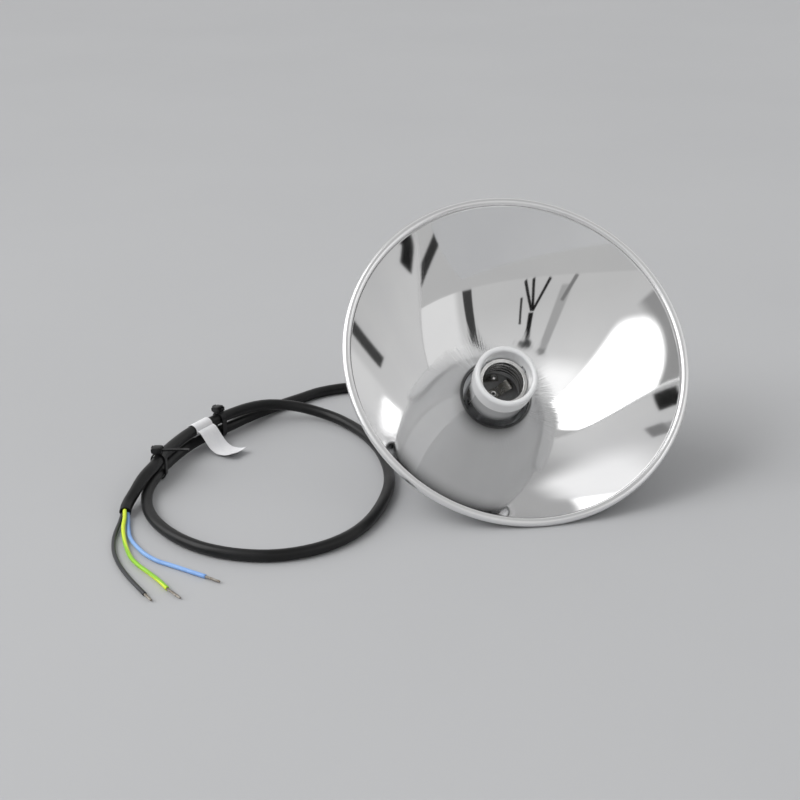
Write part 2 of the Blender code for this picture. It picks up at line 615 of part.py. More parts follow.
def cord_route(lamp):
    """From inside the gland, along its axis, then over the table and back on itself."""
    exit_points = [(*GLAND_XY, -depth * MM) for depth in CORD_LEAVES]
    start = [lamp.matrix_world @ Vector(p) for p in exit_points]
    low = [(x, y, TIED_LOW / MM) for x, y in TIED]
    high = [(x, y, TIED_HIGH / MM) for x, y in TIED]
    return smooth_route(start + in_mm(FIRST + low + LOOP + high + LAST), 15 * MM)


def cords(lamp):
    tube("mains_cord", cord_route(lamp), CORD_R, "black_rubber")
    for colour, (insulated, bare) in CORES.items():
        route = smooth_route(in_mm(insulated), 6 * MM)
        tube(f"core_{colour}", route, CORE_R, f"{colour}_core")
        first, last = in_mm(bare)
        along = (last - first).normalized()
        tube(f"core_end_{colour}", [first + along * 0.35 * MM, (first + last) / 2, last],
             STRAND_R, "tinned_copper")


def across_cord(here, towards):
    """A frame at a point of the tied stretch: X across it, Y up, Z along it."""
    along = (Vector(towards) - Vector(here)).normalized()
    across = Vector((-along.y, along.x, 0))
    turn = Matrix((across, Vector((0, 0, 1)), across.cross(Vector((0, 0, 1))))).transposed()
    return Matrix.Translation(here) @ turn.to_4x4()


def stadium(radius, height, steps=6):
    """A loop round two strands, one above the other."""
    loop = []
    for centre, start in ((height, 0), (0, 180)):
        for i in range(steps + 1):
            angle = math.radians(start + 180 * i / steps)
            loop.append((radius * math.cos(angle), centre + radius * math.sin(angle)))
    return loop


def cable_ties():
    rise = TIED_HIGH - TIED_LOW
    inner = CORD_R + 0.35 * MM
    spots = {"cable_tie_inner": ((-171, 87.2), (-178, 81.5), 100, 0),
             "cable_tie_outer": ((-213.1, 32.6), (-216, 25), 95, 20)}
    for name, (here, towards, head_angle, tail) in spots.items():
        low = TIED_LOW
        place = across_cord((here[0] * MM, here[1] * MM, low), (towards[0] * MM, towards[1] * MM, low))
        band = as_mesh(flat_outline(name, [stadium(inner + TIE_STRAP, rise),
                                           stadium(inner, rise)[::-1]], TIE_WIDTH,
                                    "black_plastic"))
        band.matrix_world = place
        turn = Matrix.Translation((0, rise, 0)) @ Matrix.Rotation(math.radians(head_angle), 4, "Z")
        reach = inner + TIE_STRAP / 2 + 2.1 * MM
        head = box(f"{name}_head", (4.2 * MM, 5.4 * MM, 5.2 * MM), (reach, 0, 0))
        head.matrix_world = place @ turn
        use(band, head, "UNION")
        if tail:
            strip = box(f"{name}_tail", (1.1 * MM, tail * MM, 2.4 * MM),
                        (reach, -tail / 2 * MM, 0))
            strip.matrix_world = place @ turn
            use(band, strip, "UNION")


def paper_tag():
    """A strip of paper wrapped once round the upper strand, its ends stuck together as a flap."""
    here, towards = (-184.5, 75.5), (-190.5, 69.5)
    place = across_cord((here[0] * MM, here[1] * MM, TIED_HIGH),
                        (towards[0] * MM, towards[1] * MM, TIED_HIGH))
    inner, outer = 3.95 * MM, 4.3 * MM
    flap = [(3.98, 1.2), (6.5, 0.0), (9.6, -3.6), (13, -7.6), (17.4, -10.6), (22.4, -11.3),
            (27, -9.6), (30.6, -6.6)]
    sides = 16
    ring = [[(radius * math.cos(2 * math.pi * i / sides), radius * math.sin(2 * math.pi * i / sides))
             for i in range(sides)] for radius in (outer, inner)]
    tag = as_mesh(flat_outline("paper_tag", [ring[0], ring[1][::-1]], 12 * MM, "paper"))
    upper, lower = [], []
    for i, point in enumerate(flap):
        before, after = Vector(flap[max(i - 1, 0)]), Vector(flap[min(i + 1, len(flap) - 1)])
        along = (after - before).normalized()
        upper.append((Vector(point) + Vector((-along.y, along.x)) * 0.18) * MM)
        lower.append((Vector(point) - Vector((-along.y, along.x)) * 0.18) * MM)
    loop = [tuple(p) for p in upper + lower[::-1]]
    sheet = as_mesh(flat_outline("tag_flap", [loop], 12 * MM, "paper"))
    tag.matrix_world = place
    sheet.matrix_world = place
    use(tag, sheet, "UNION")


def stand_on_origin(lamp):
    """Moves the lamp so that its box stands with the middle of its base at the origin."""
    bpy.context.view_layer.update()
    graph = bpy.context.evaluated_depsgraph_get()
    places = []
    for part in PARTS.objects:
        if part.type == "EMPTY" or part.parent is None:
            continue
        ready = part.evaluated_get(graph)
        mesh = ready.to_mesh()
        places += [ready.matrix_world @ vertex.co for vertex in mesh.vertices]
        ready.to_mesh_clear()
    low = Vector([min(p[i] for p in places) for i in range(3)])
    high = Vector([max(p[i] for p in places) for i in range(3)])
    lamp.location -= Vector(((low.x + high.x) / 2, (low.y + high.y) / 2, low.z))
    bpy.context.view_layer.update()


def main():
    lamp = bpy.data.objects.new("lamp", None)
    PARTS.objects.link(lamp)
    lamp.rotation_euler = (lean_angle(), 0, 0)
    reflector_bowl(lamp)
    porcelain_holder(lamp)
    threaded_shell(lamp)
    contacts(lamp)
    rivets(lamp)
    terminals(lamp)
    mounting_bracket(lamp)
    neck_rivets(lamp)
    holder_fixings(lamp)
    earth_point(lamp)
    cable_gland(lamp)
    inner_wires(lamp)
    stand_on_origin(lamp)
    cords(lamp)
    cable_ties()
    paper_tag()


main()
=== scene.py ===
# %% [markdown]
# # A spun reflector on a porcelain lampholder
# The object is a studio lamp head without its lamp: a polished bowl, a porcelain screw
# lampholder in its neck, a bracket behind it and a three-core cord that ends in bare cores.
# The CAD model is the fixed frame. Every piece below is placed from the frame's own numbers.

# %% Load the frame
import itertools
import json
import math

import bmesh
import bpy
from mathutils import Matrix, Vector


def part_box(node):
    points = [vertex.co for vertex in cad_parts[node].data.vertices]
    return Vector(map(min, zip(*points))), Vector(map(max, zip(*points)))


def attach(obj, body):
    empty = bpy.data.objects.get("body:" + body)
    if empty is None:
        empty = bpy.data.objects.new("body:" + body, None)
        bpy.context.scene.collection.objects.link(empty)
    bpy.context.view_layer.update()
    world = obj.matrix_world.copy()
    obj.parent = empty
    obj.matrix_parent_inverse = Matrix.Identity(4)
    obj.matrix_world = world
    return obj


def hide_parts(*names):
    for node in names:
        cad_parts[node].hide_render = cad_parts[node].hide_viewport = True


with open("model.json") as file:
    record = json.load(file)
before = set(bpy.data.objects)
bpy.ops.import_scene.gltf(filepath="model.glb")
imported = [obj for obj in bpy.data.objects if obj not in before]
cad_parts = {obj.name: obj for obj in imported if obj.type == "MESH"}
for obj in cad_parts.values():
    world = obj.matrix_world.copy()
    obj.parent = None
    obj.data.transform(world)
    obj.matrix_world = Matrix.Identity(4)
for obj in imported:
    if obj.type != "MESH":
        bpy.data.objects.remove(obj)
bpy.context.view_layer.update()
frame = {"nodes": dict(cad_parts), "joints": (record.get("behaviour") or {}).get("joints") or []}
MM = 0.001

# %% [markdown]
# The lamp lies tilted, so its parts are easiest to describe along its own axis: Z out of the
# mouth, with 0 at the middle of the rim. The joint of the centre contact lies square to that
# axis, which gives the lean, and the bowl's box gives the place of the rim.

# %% The lamp's own axes
hinge = frame["joints"][0]
lean = math.atan2(hinge["axis"][2], hinge["axis"][1])
bowl_low, bowl_high = (Vector(corner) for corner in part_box("reflector_bowl"))
BEAD_R = 2.5 * MM
RIM_R = (bowl_high.x - bowl_low.x) / 2
rim_reach = (RIM_R - BEAD_R) * math.cos(lean) + BEAD_R
rim_centre = Vector((0, bowl_low.y + rim_reach, (bowl_low.z + bowl_high.z) / 2))
LAMP = Matrix.Translation(rim_centre) @ Matrix.Rotation(lean, 4, "X")
print("lean", round(math.degrees(lean), 2), "rim centre", [round(v, 4) for v in rim_centre])

# %% [markdown]
# The camera comes first, because what it sees decides where a cord may lie. It stands a little
# to the left in front of the lamp and looks down at about 23 degrees with a 72 mm lens.

# %% Camera
camera_data = bpy.data.cameras.new("camera")
camera_data.lens = 72
camera = bpy.data.objects.new("camera", camera_data)
camera.location = (-0.2444, -0.8574, 0.4248)
camera.rotation_euler = (math.radians(67), 0, math.radians(-11.46))
bpy.context.scene.collection.objects.link(camera)
bpy.context.scene.camera = camera

# %% [markdown]
# ## Helpers
# Most of this lamp is turned, on a spinning lathe or a potter's wheel. A turned piece is a
# line of (radius, height) points that `bmesh.ops.spin` takes once round the axis. Rounded
# corners come from the line itself, so each piece stays light. Every piece is finished in the
# same way: cleaned, put in its place, shaded, and set to ride on its body.

# %% Turned pieces, boxes and finishing
SAME_SPOT = 0.002 * MM      # points nearer to each other than this are one point


def mm(*point):
    """A point or a step given in millimetres."""
    return Vector(point) * MM


def only(items, kind):
    return [item for item in items if isinstance(item, kind)]


def everything(shape):
    return shape.verts[:] + shape.edges[:] + shape.faces[:]


def moved(shape, matrix):
    bmesh.ops.transform(shape, matrix=matrix, verts=shape.verts)
    return shape


def object_from(shape, name):
    """Makes a mesh and an object of the scene from a bmesh."""
    mesh = bpy.data.meshes.new(name)
    shape.to_mesh(mesh)
    shape.free()
    made = bpy.data.objects.new(name, mesh)
    bpy.context.scene.collection.objects.link(made)
    return made


def shade_smoothly(mesh, flat_angle=35):
    mesh.shade_smooth()
    mesh.set_sharp_from_angle(angle=math.radians(flat_angle))


def finish_piece(name, shape, material, replaces=None, body="lamp", place=LAMP,
                 flat_angle=35):
    """Makes the piece, with its place in its mesh, and lets it ride."""
    bmesh.ops.remove_doubles(shape, verts=shape.verts, dist=SAME_SPOT)
    bmesh.ops.recalc_face_normals(shape, faces=shape.faces)
    made = object_from(moved(shape, place), name)
    shade_smoothly(made.data, flat_angle)
    made.data.materials.append(material)
    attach(made, body)
    if replaces:
        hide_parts(replaces)
    return made


def spun(profile, steps=96, closed=False, at=(0, 0)):
    """A bmesh of the profile, in millimetres, spun round the Z axis at this point."""
    shape = bmesh.new()
    verts = [shape.verts.new((r * MM, 0, z * MM)) for r, z in profile]
    edges = [shape.edges.new(pair) for pair in zip(verts, verts[1:])]
    if closed:
        edges.append(shape.edges.new((verts[-1], verts[0])))
    bmesh.ops.spin(shape, geom=verts + edges, cent=(0, 0, 0), axis=(0, 0, 1),
                   angle=2 * math.pi, steps=steps, use_merge=True)
    bmesh.ops.remove_doubles(shape, verts=shape.verts, dist=SAME_SPOT)
    bmesh.ops.translate(shape, vec=(at[0] * MM, at[1] * MM, 0), verts=shape.verts)
    return shape


def arc(centre, radius, start, end, steps):
    """Points of a round stretch of a profile, between two angles in degrees."""
    angles = [math.radians(start + (end - start) * i / steps) for i in range(steps + 1)]
    return [(centre[0] + radius * math.cos(a), centre[1] + radius * math.sin(a)) for a in angles]


def block(size, centre, bevel, turn=Matrix.Identity(4)):
    """A box in millimetres with rounded edges."""
    shape = bmesh.new()
    bmesh.ops.create_cube(shape, size=1, matrix=Matrix.Diagonal((*mm(*size), 1)))
    bmesh.ops.bevel(shape, geom=shape.edges[:], offset=bevel * MM, segments=3,
                    profile=0.5, affect="EDGES", material=-1)
    return moved(shape, Matrix.Translation(mm(*centre)) @ turn)


def join(shape, other):
    """Adds a second bmesh to the first as a further body of the same piece."""
    holder = bpy.data.meshes.new("holder")
    other.to_mesh(holder)
    other.free()
    shape.from_mesh(holder)
    bpy.data.meshes.remove(holder)


def close_holes(shape):
    edges = [edge for edge in shape.edges if edge.is_boundary]
    bmesh.ops.holes_fill(shape, edges=edges, sides=0)

# %% [markdown]
# ## Materials
# Two effects turn up again and again: a slow change of tone over a surface, from handling
# and dust, and a fine grain in the finish. Both are node groups with named sockets, so each
# material sets its own scale and strength.

# %% Shared node groups
def feed(node, inputs):
    """Sets each input of a node to a value, or links it from another node's output."""
    for key, value in inputs.items():
        if isinstance(value, bpy.types.NodeSocket):
            node.id_data.links.new(value, node.inputs[key])
        else:
            node.inputs[key].default_value = value


def add(tree, kind, inputs=None, **settings):
    """A new node with its settings and its inputs."""
    node = tree.nodes.new("ShaderNode" + kind)
    for key, value in settings.items():
        setattr(node, key, value)
    feed(node, inputs or {})
    return node


def calc(tree, operation, *values):
    """What a Math node makes of these values."""
    return add(tree, "Math", dict(enumerate(values)), operation=operation).outputs[0]


def ramp(tree, value, start, end, low=0, high=1, steps="LINEAR"):
    """Takes a value that lies between start and end to between low and high."""
    return add(tree, "MapRange", {"Value": value, "From Min": start, "From Max": end,
                                  "To Min": low, "To Max": high},
               interpolation_type=steps).outputs["Result"]


def new_group(name, inputs, outputs):
    """An empty group with named sockets, what it is given, and the node for its results."""
    group = bpy.data.node_groups.new(name, "ShaderNodeTree")
    for side, sockets in (("INPUT", inputs), ("OUTPUT", outputs)):
        for label, kind in sockets.items():
            group.interface.new_socket(label, in_out=side, socket_type="NodeSocket" + kind)
    return group, group.nodes.new("NodeGroupInput").outputs, group.nodes.new("NodeGroupOutput")


def make_tone_group():
    """Mixes two colours by a soft noise, and gives the noise as a mask as well."""
    group, given, result = new_group(
        "uneven_tone",
        {"Vector": "Vector", "Colour A": "Color", "Colour B": "Color", "Scale": "Float"},
        {"Colour": "Color", "Mask": "Float"})
    noise = add(group, "TexNoise", {"Vector": given["Vector"], "Scale": given["Scale"],
                                    "Detail": 4})
    mask = ramp(group, noise.outputs["Fac"], 0.35, 0.65)
    mix = add(group, "Mix", {0: mask, 6: given["Colour A"], 7: given["Colour B"]},
              data_type="RGBA")
    feed(result, {"Colour": mix.outputs[2], "Mask": mask})
    return group


def make_grain_group():
    """A height for a bump: fine noise over coarser noise."""
    group, given, result = new_group("fine_grain", {"Vector": "Vector", "Scale": "Float"},
                                     {"Height": "Float"})
    fine, coarse = (
        add(group, "TexNoise", {"Vector": given["Vector"], "Scale": scale}).outputs["Fac"]
        for scale in (given["Scale"], calc(group, "MULTIPLY", given["Scale"], 0.2)))
    feed(result, {"Height": calc(group, "ADD", fine, coarse)})
    return group


TONE = make_tone_group()
GRAIN = make_grain_group()

# %% [markdown]
# A finish is then one call: two close colours, a range of roughness that follows the same
# uneven tone, and how strong the grain is. Metals are the same shader with Metallic at 1.

# %% A plain finish
def new_material(name):
    material = bpy.data.materials.new(name)
    material.use_nodes = True
    return material, material.node_tree, material.node_tree.nodes["Principled BSDF"]


def own_place(tree):
    return add(tree, "TexCoord").outputs["Object"]


def toned(tree, colour_a, colour_b, scale):
    return add(tree, "Group", {"Vector": own_place(tree), "Colour A": (*colour_a, 1),
                               "Colour B": (*colour_b, 1), "Scale": scale},
               node_tree=TONE).outputs


def bumped(tree, height, strength, distance, below=None):
    """A normal from a height that is so many millimetres deep, over the bump below it."""
    bump = add(tree, "Bump", {"Height": height, "Strength": strength, "Distance": distance * MM})
    if below:
        feed(bump, {"Normal": below})
    return bump.outputs["Normal"]


def finish(name, colour_a, colour_b, rough, metallic=0.0, tone_scale=40.0, grain_scale=900.0,
           grain=0.1, coat=0.0, specular=0.5):
    material, tree, shader = new_material(name)
    tone = toned(tree, colour_a, colour_b, tone_scale)
    height = add(tree, "Group", {"Vector": own_place(tree), "Scale": grain_scale},
                 node_tree=GRAIN).outputs["Height"]
    feed(shader, {"Metallic": metallic, "Coat Weight": coat, "Coat Roughness": 0.08,
                  "Specular IOR Level": specular, "Base Color": tone["Colour"],
                  "Roughness": ramp(tree, tone["Mask"], 0, 1, *rough),
                  "Normal": bumped(tree, height, grain, 0.1)})
    return material


nickel = finish("nickel_plate", (0.78, 0.775, 0.765), (0.66, 0.655, 0.645), (0.14, 0.30), 1.0,
                300.0)
brass = finish("plain_brass", (0.74, 0.56, 0.27), (0.60, 0.44, 0.20), (0.22, 0.38), 1.0, 250.0)
plated = finish("plated_contact_brass", (0.30, 0.295, 0.28), (0.20, 0.19, 0.17), (0.22, 0.36),
                1.0, 300.0)
# The thread's nickel; its grooves are darkened further down as painted shade.
thread_nickel_painted_groove_shade = finish("thread_nickel_painted_groove_shade", (0.74, 0.735, 0.73), (0.62, 0.615, 0.61), (0.14, 0.26), 1.0,
                       300.0)
zinc = finish("zinc_plated_steel", (0.60, 0.61, 0.62), (0.48, 0.49, 0.51), (0.28, 0.46), 1.0,
              120.0, 1500.0, 0.2)
rubber = finish("cord_rubber", (0.004, 0.004, 0.0042), (0.008, 0.008, 0.0085), (0.30, 0.42), 0.0,
                60.0, 2500.0, 0.25, specular=0.32)
black_plastic = finish("black_nylon", (0.005, 0.005, 0.0055), (0.010, 0.010, 0.011),
                       (0.28, 0.40), 0.0, 200.0, 3000.0, 0.25, specular=0.35)
core_black = finish("black_insulation", (0.020, 0.021, 0.024), (0.034, 0.035, 0.038),
                    (0.30, 0.45), 0.0, 150.0)
core_blue = finish("blue_insulation", (0.20, 0.37, 0.74), (0.25, 0.43, 0.79), (0.28, 0.42),
                   0.0, 150.0)
copper = finish("tinned_strands", (0.40, 0.38, 0.35), (0.24, 0.20, 0.16), (0.28, 0.45), 1.0,
                800.0)
# Painted shade: the floor of the socket's cavity is painted dark grey, since little light reaches
# it.
cavity_painted_shade = finish("cavity_floor_painted_shade", (0.26, 0.26, 0.265), (0.34, 0.34, 0.345),
                    (0.35, 0.55), 0.0, 400.0, 1500.0, 0.4)
# Glaze for the waist below the sleeve; further down it gets painted shade towards the gap.
glaze_painted_gap_shade = finish("glaze_with_painted_gap_shade", (0.80, 0.805, 0.81), (0.76, 0.765, 0.775), (0.12, 0.20),
                   0.0, 70.0, 220.0, 0.06, coat=0.3)
glaze = finish("porcelain_glaze", (0.84, 0.845, 0.85), (0.80, 0.805, 0.815), (0.12, 0.20), 0.0,
               70.0, 220.0, 0.06, coat=0.3)
paper = finish("tag_paper", (0.84, 0.84, 0.85), (0.80, 0.80, 0.82), (0.60, 0.75), 0.0, 300.0,
               1800.0, 0.3)

# %% [markdown]
# Two finishes get painted shade along a measure of the lamp: the porcelain darkens towards the gap
# round it, where little light reaches, and the thread darkens from its crests to its grooves. A
# ramp over that measure scales the colour.

# %% Painted shade in the gap and in the grooves
def lamp_place(tree):
    """Object coordinates, turned to the lamp's own axes."""
    return add(tree, "Mapping", {"Vector": own_place(tree), "Location": rim_centre,
                                 "Rotation": (lean, 0, 0)}, vector_type="TEXTURE").outputs["Vector"]


def distance(tree, vector, keep):
    """The length of the part of a vector that is kept: all of its X, Y or Z, or none."""
    kept = add(tree, "VectorMath", {0: vector, 1: keep}, operation="MULTIPLY").outputs["Vector"]
    return add(tree, "VectorMath", {0: kept}, operation="LENGTH").outputs["Value"]


ALONG_AXIS, FROM_AXIS = (0, 0, 1), (1, 1, 0)


def painted_shade_along(material, keep, start, end, low):
    """Paints shade: scales the colour from 1 at the start to low at the end of a distance."""
    tree = material.node_tree
    shader = tree.nodes["Principled BSDF"]
    light = ramp(tree, distance(tree, lamp_place(tree), keep), start * MM, end * MM, 1, low,
                 "SMOOTHSTEP")
    colour = shader.inputs["Base Color"].links[0].from_socket
    darker = add(tree, "VectorMath", {0: colour, "Scale": light}, operation="SCALE")
    feed(shader, {"Base Color": darker.outputs["Vector"]})


# Painted shade: the waist's glaze goes dark towards the gap round the holder.
painted_shade_along(glaze_painted_gap_shade, ALONG_AXIS, 52.0, 63.0, 0.05)
# Painted shade: the thread's nickel goes dark in its grooves.
painted_shade_along(thread_nickel_painted_groove_shade, FROM_AXIS, 13.1, 13.75, 0.10)

# %% [markdown]
# ## The cord
# A three-core mains cord is a fixed length of rubber-covered cable, 6.9 mm thick. It leaves
# the gland, lies over the table in one wide loop and comes back on top of itself, where two
# cable ties hold the strands together. The route is a list of points that a Catmull-Rom
# curve passes through, and the same points are in the CAD model's source.

# %% The route on the table
CORD_R = 3.45
LOW = 3.6
TIED_LOW = 4.7
TIED_HIGH = 12.9
GLAND_X, GLAND_Y = 10.0, 5.0
TIED = [(-164, 92.5), (-178, 81.5), (-190.5, 69.5), (-201, 55), (-210, 39.5), (-216, 25)]
FIRST = [
    (9.7, 84, 5.9), (8, 94, 4.2), (3.5, 106, LOW), (-4.5, 118, LOW), (-17, 129, LOW),
    (-34, 137, LOW), (-56, 142, LOW), (-79, 143.5, LOW), (-98, 139.5, LOW), (-113, 131, LOW),
    (-127, 122.5, 3.8), (-141, 112.5, 4.2), (-153, 102.5, 4.6)]
LOOP = [
    (-221, 11, 4.3), (-223, -3, LOW), (-222.5, -17, LOW), (-218.5, -34, LOW), (-209, -53, LOW),
    (-195, -69, LOW), (-177, -80, LOW), (-157, -85, LOW), (-136, -82.5, LOW), (-117, -73, LOW),
    (-101.5, -57.5, LOW), (-89, -36, LOW), (-79.5, -11, LOW), (-75.5, 14, LOW), (-76, 41, LOW),
    (-81.5, 66, 3.8), (-92, 87, 4.6), (-105, 99.5, 6.4), (-120, 106.5, 9.0), (-137, 106, 11.8),
    (-151, 100.5, 12.9)]
LAST = [(-223.5, 12.5, 11.2), (-230, -0.5, 7.6), (-234.5, -9.5, 4.9), (-235.9, -16.5, 4.0)]


def smooth_route(points, spacing):
    """Evenly spaced points, in metres, on a smooth curve through the given ones."""
    knots = [Vector(p) for p in points]
    knots = [2 * knots[0] - knots[1]] + knots + [2 * knots[-1] - knots[-2]]
    fine = []
    for a, b, c, d in zip(knots, knots[1:], knots[2:], knots[3:]):
        for step in range(24):
            t = step / 24
            fine.append(0.5 * (2 * b + (c - a) * t + (2 * a - 5 * b + 4 * c - d) * t * t
                               + (3 * b - a - 3 * c + d) * t ** 3))
    fine.append(knots[-2])
    steps = [(b - a).length for a, b in zip(fine, fine[1:])]
    lengths = list(itertools.accumulate(steps, initial=0.0))
    count = max(2, round(lengths[-1] / spacing))
    result = []
    here = 0
    for i in range(count + 1):
        want = lengths[-1] * i / count
        while here < len(fine) - 2 and lengths[here + 1] < want:
            here += 1
        part = (want - lengths[here]) / (lengths[here + 1] - lengths[here])
        result.append(fine[here].lerp(fine[here + 1], min(part, 1)))
    return result


def in_metres(points):
    return [mm(*p) for p in points]


def route_length(points):
    return sum((b - a).length for a, b in zip(points, points[1:]))


start = [LAMP @ mm(GLAND_X, GLAND_Y, -depth) for depth in (86, 93, 100)]
low_strand, high_strand = ([(x, y, z) for x, y in TIED] for z in (TIED_LOW, TIED_HIGH))
cord_route = smooth_route(
    start + in_metres(FIRST + low_strand + LOOP + high_strand + LAST), 5 * MM)
print("cord", round(route_length(cord_route), 4), "m")

# %% [markdown]
# A tube could be a curve with a bevel. Here it's a ring that is extruded from point to point
# instead, because that gives it a UV map of the tube's own: U goes once round and V runs along
# it in metres, so a stripe or a grain can follow the cord. A frame is carried along the route
# without twisting, and each new ring turns with it.

# %% Swept tubes
def frames_along(points):
    """A matrix for each point: Z along the route, and no twist from one to the next."""
    across = None
    frames = []
    for i, point in enumerate(points):
        along = (points[min(i + 1, len(points) - 1)] - points[max(i - 1, 0)]).normalized()
        if across is None:
            across = along.orthogonal().normalized()
        across = (across - along * across.dot(along)).normalized()
        turn = Matrix((across, along.cross(across), along)).transposed()
        frames.append(Matrix.Translation(point) @ turn.to_4x4())
    return frames


def extruded(shape, edges):
    """Extrudes edges and gives the new vertices, the edges between them, and the faces."""
    made = bmesh.ops.extrude_edge_only(shape, edges=edges)["geom"]
    verts = only(made, bmesh.types.BMVert)
    ring = [edge for edge in only(made, bmesh.types.BMEdge)
            if edge.verts[0] in verts and edge.verts[1] in verts]
    return verts, ring, only(made, bmesh.types.BMFace)


def swept(points, radius, sides, closed_ends=True):
    """A bmesh tube along the points, its radius in millimetres, with a UV map."""
    shape = bmesh.new()
    layer = shape.loops.layers.uv.new("along")
    frames = frames_along(points)
    bmesh.ops.create_circle(shape, cap_ends=False, radius=radius * MM, segments=sides,
                            matrix=frames[0])
    ring = list(shape.edges)
    number = {vert: i for i, vert in enumerate(shape.verts)}
    if closed_ends:
        bmesh.ops.holes_fill(shape, edges=ring, sides=0)
    travelled = 0.0
    for i in range(1, len(points)):
        verts, ring, faces = extruded(shape, ring)
        known = {}
        for vert in verts:
            known[vert] = next(number[edge.other_vert(vert)] for edge in vert.link_edges
                               if edge.other_vert(vert) in number)
        both = number | known
        step = (points[i] - points[i - 1]).length
        for face in faces:
            across = [both[loop.vert] / sides for loop in face.loops]
            wraps = max(across) - min(across) > 0.5
            for loop, u in zip(face.loops, across):
                loop[layer].uv = (u + 1 if wraps and u < 0.5 else u,
                                  travelled + step if loop.vert in known else travelled)
        travelled += step
        bmesh.ops.transform(shape, matrix=frames[i] @ frames[i - 1].inverted(), verts=verts)
        number = known
    if closed_ends:
        bmesh.ops.holes_fill(shape, edges=ring, sides=0)
    return shape, ring, frames[-1]

# %% [markdown]
# The jacket is cut square at its far end, and the cores come out of a short hollow. The last
# ring is pulled in for the thickness of the jacket and then pushed back into the cord.

# %% Cord jacket
def narrowed(shape, ring, place, steps):
    """Extrudes an end ring, scales it about the route and pushes it along, step by step."""
    for factor, push in steps:
        verts, ring, _ = extruded(shape, ring)
        bmesh.ops.scale(shape, vec=(factor, factor, factor), verts=verts, space=place.inverted())
        bmesh.ops.translate(shape, vec=place.to_3x3() @ mm(0, 0, push), verts=verts)
    close_holes(shape)
    return shape


ON_TABLE = Matrix.Identity(4)
jacket = narrowed(*swept(cord_route, CORD_R, 20, closed_ends=False),
                  [(0.97, 0.35), (0.86, 0.1), (0.92, -2.6)])
cord_jacket = finish_piece("cord_jacket", jacket, rubber, "mains_cord",
                           place=ON_TABLE, flat_angle=50)

# %% [markdown]
# The earth core is green with a yellow stripe that covers a third to half of it. The stripe
# follows the core's own UV map, so it winds slowly round however the core bends.

# %% Green and yellow stripe
def striped_insulation():
    material = finish("green_yellow_insulation", (0.30, 0.62, 0.03), (0.26, 0.56, 0.03),
                      (0.28, 0.40), 0.0, 150.0)
    tree = material.node_tree
    shader = tree.nodes["Principled BSDF"]
    green = shader.inputs["Base Color"].links[0].from_socket
    own = add(tree, "SeparateXYZ",
              {"Vector": add(tree, "UVMap", uv_map="along").outputs["UV"]}).outputs
    turn = calc(tree, "FRACT", calc(tree, "MULTIPLY_ADD", own["Y"], 9.0, own["X"]))
    stripe = ramp(tree, calc(tree, "PINGPONG", turn, 0.5), 0.24, 0.28, 0, 1, "SMOOTHSTEP")
    mix = add(tree, "Mix", {0: stripe, 6: green, 7: (0.66, 0.80, 0.04, 1)}, data_type="RGBA")
    feed(shader, {"Base Color": mix.outputs[2]})
    return material


CORE_PAINT = {"black": core_black, "green_yellow": striped_insulation(), "blue": core_blue}

# %% [markdown]
# Each core is a thin flexible wire. Its insulation ends 10 mm short, and the strands beyond
# it are twisted together, so seven thin wires wind round one another to a slightly
# fused tip.

# %% Three cores
CORE_R = 1.2
CORE_ROUTES = {
    "black": ([
        (-237.6, -17.5, 3.2), (-239.3, -25, 2.3), (-241.8, -34, 1.5), (-243.7, -45, 1.4),
        (-244.2, -58, 1.4), (-242.8, -70, 1.4), (-240, -82, 1.4), (-236, -94, 1.4),
        (-230, -109.5, 1.4)], (-227, -116.5, 1.3)),
    "green_yellow": ([
        (-236.1, -17.5, 5.4), (-236.6, -25, 4.5), (-237.9, -34, 3.1), (-238, -44, 1.9),
        (-237.3, -54, 1.4), (-235.6, -66, 1.4), (-232.2, -76, 1.4), (-226.5, -87, 1.4),
        (-221.5, -97, 1.4), (-218, -106, 1.4)], (-212, -117, 1.3)),
    "blue": ([
        (-234.6, -17.5, 3.2), (-234.8, -25, 2.1), (-235, -34, 1.5), (-234.4, -45, 1.4),
        (-231.6, -55, 1.4), (-227.5, -65, 1.4), (-221.5, -74, 1.4), (-214, -81, 1.4),
        (-206, -88.5, 1.4), (-197, -97, 1.4)], (-190, -104, 1.3)),
}


def twisted_strands(begin, end, wires=6, wire_r=0.27, lay_r=0.5, turns=1.6, steps=16):
    """Six thin wires that wind round a middle one."""
    along = end - begin
    place = Matrix.Translation(begin) @ along.to_track_quat("Z", "X").to_matrix().to_4x4()
    whole = swept([begin, begin.lerp(end, 0.5), end - along * 0.04], 0.3, 8)[0]
    for wire in range(wires):
        points = []
        for part in (i / steps for i in range(steps + 1)):
            angle = 2 * math.pi * (wire / wires + turns * part)
            # The lay closes up towards the tip
            radius = lay_r * (1 - 0.35 * max(0.0, (part - 0.8) / 0.2))
            points.append(place @ Vector((radius * math.cos(angle) * MM,
                                          radius * math.sin(angle) * MM,
                                          along.length * part)))
        join(whole, swept(points, wire_r, 8)[0])
    return whole


for colour, (knots, tip) in CORE_ROUTES.items():
    route = smooth_route(in_metres(knots), 2.4 * MM)
    tube = narrowed(*swept(route, CORE_R, 14, closed_ends=False), [(0.9, 0.12), (0.75, 0.0)])
    core = finish_piece(f"core_{colour}_insulation", tube, CORE_PAINT[colour],
                        f"core_{colour}", place=ON_TABLE, flat_angle=50)
    last, end = route[-1], mm(*tip)
    wires = twisted_strands(last - (end - last).normalized() * MM, end)
    strands = finish_piece(f"core_{colour}_strands", wires, copper,
                           f"core_end_{colour}", place=ON_TABLE, flat_angle=60)

# %% [markdown]
# ## Cable ties
# A nylon tie is a strap with a square head. The strap goes round both strands, through the
# head, and its teeth catch on a pawl inside. The loop is a band that is extruded from one
# outline, and the teeth are ridges across the free tail.

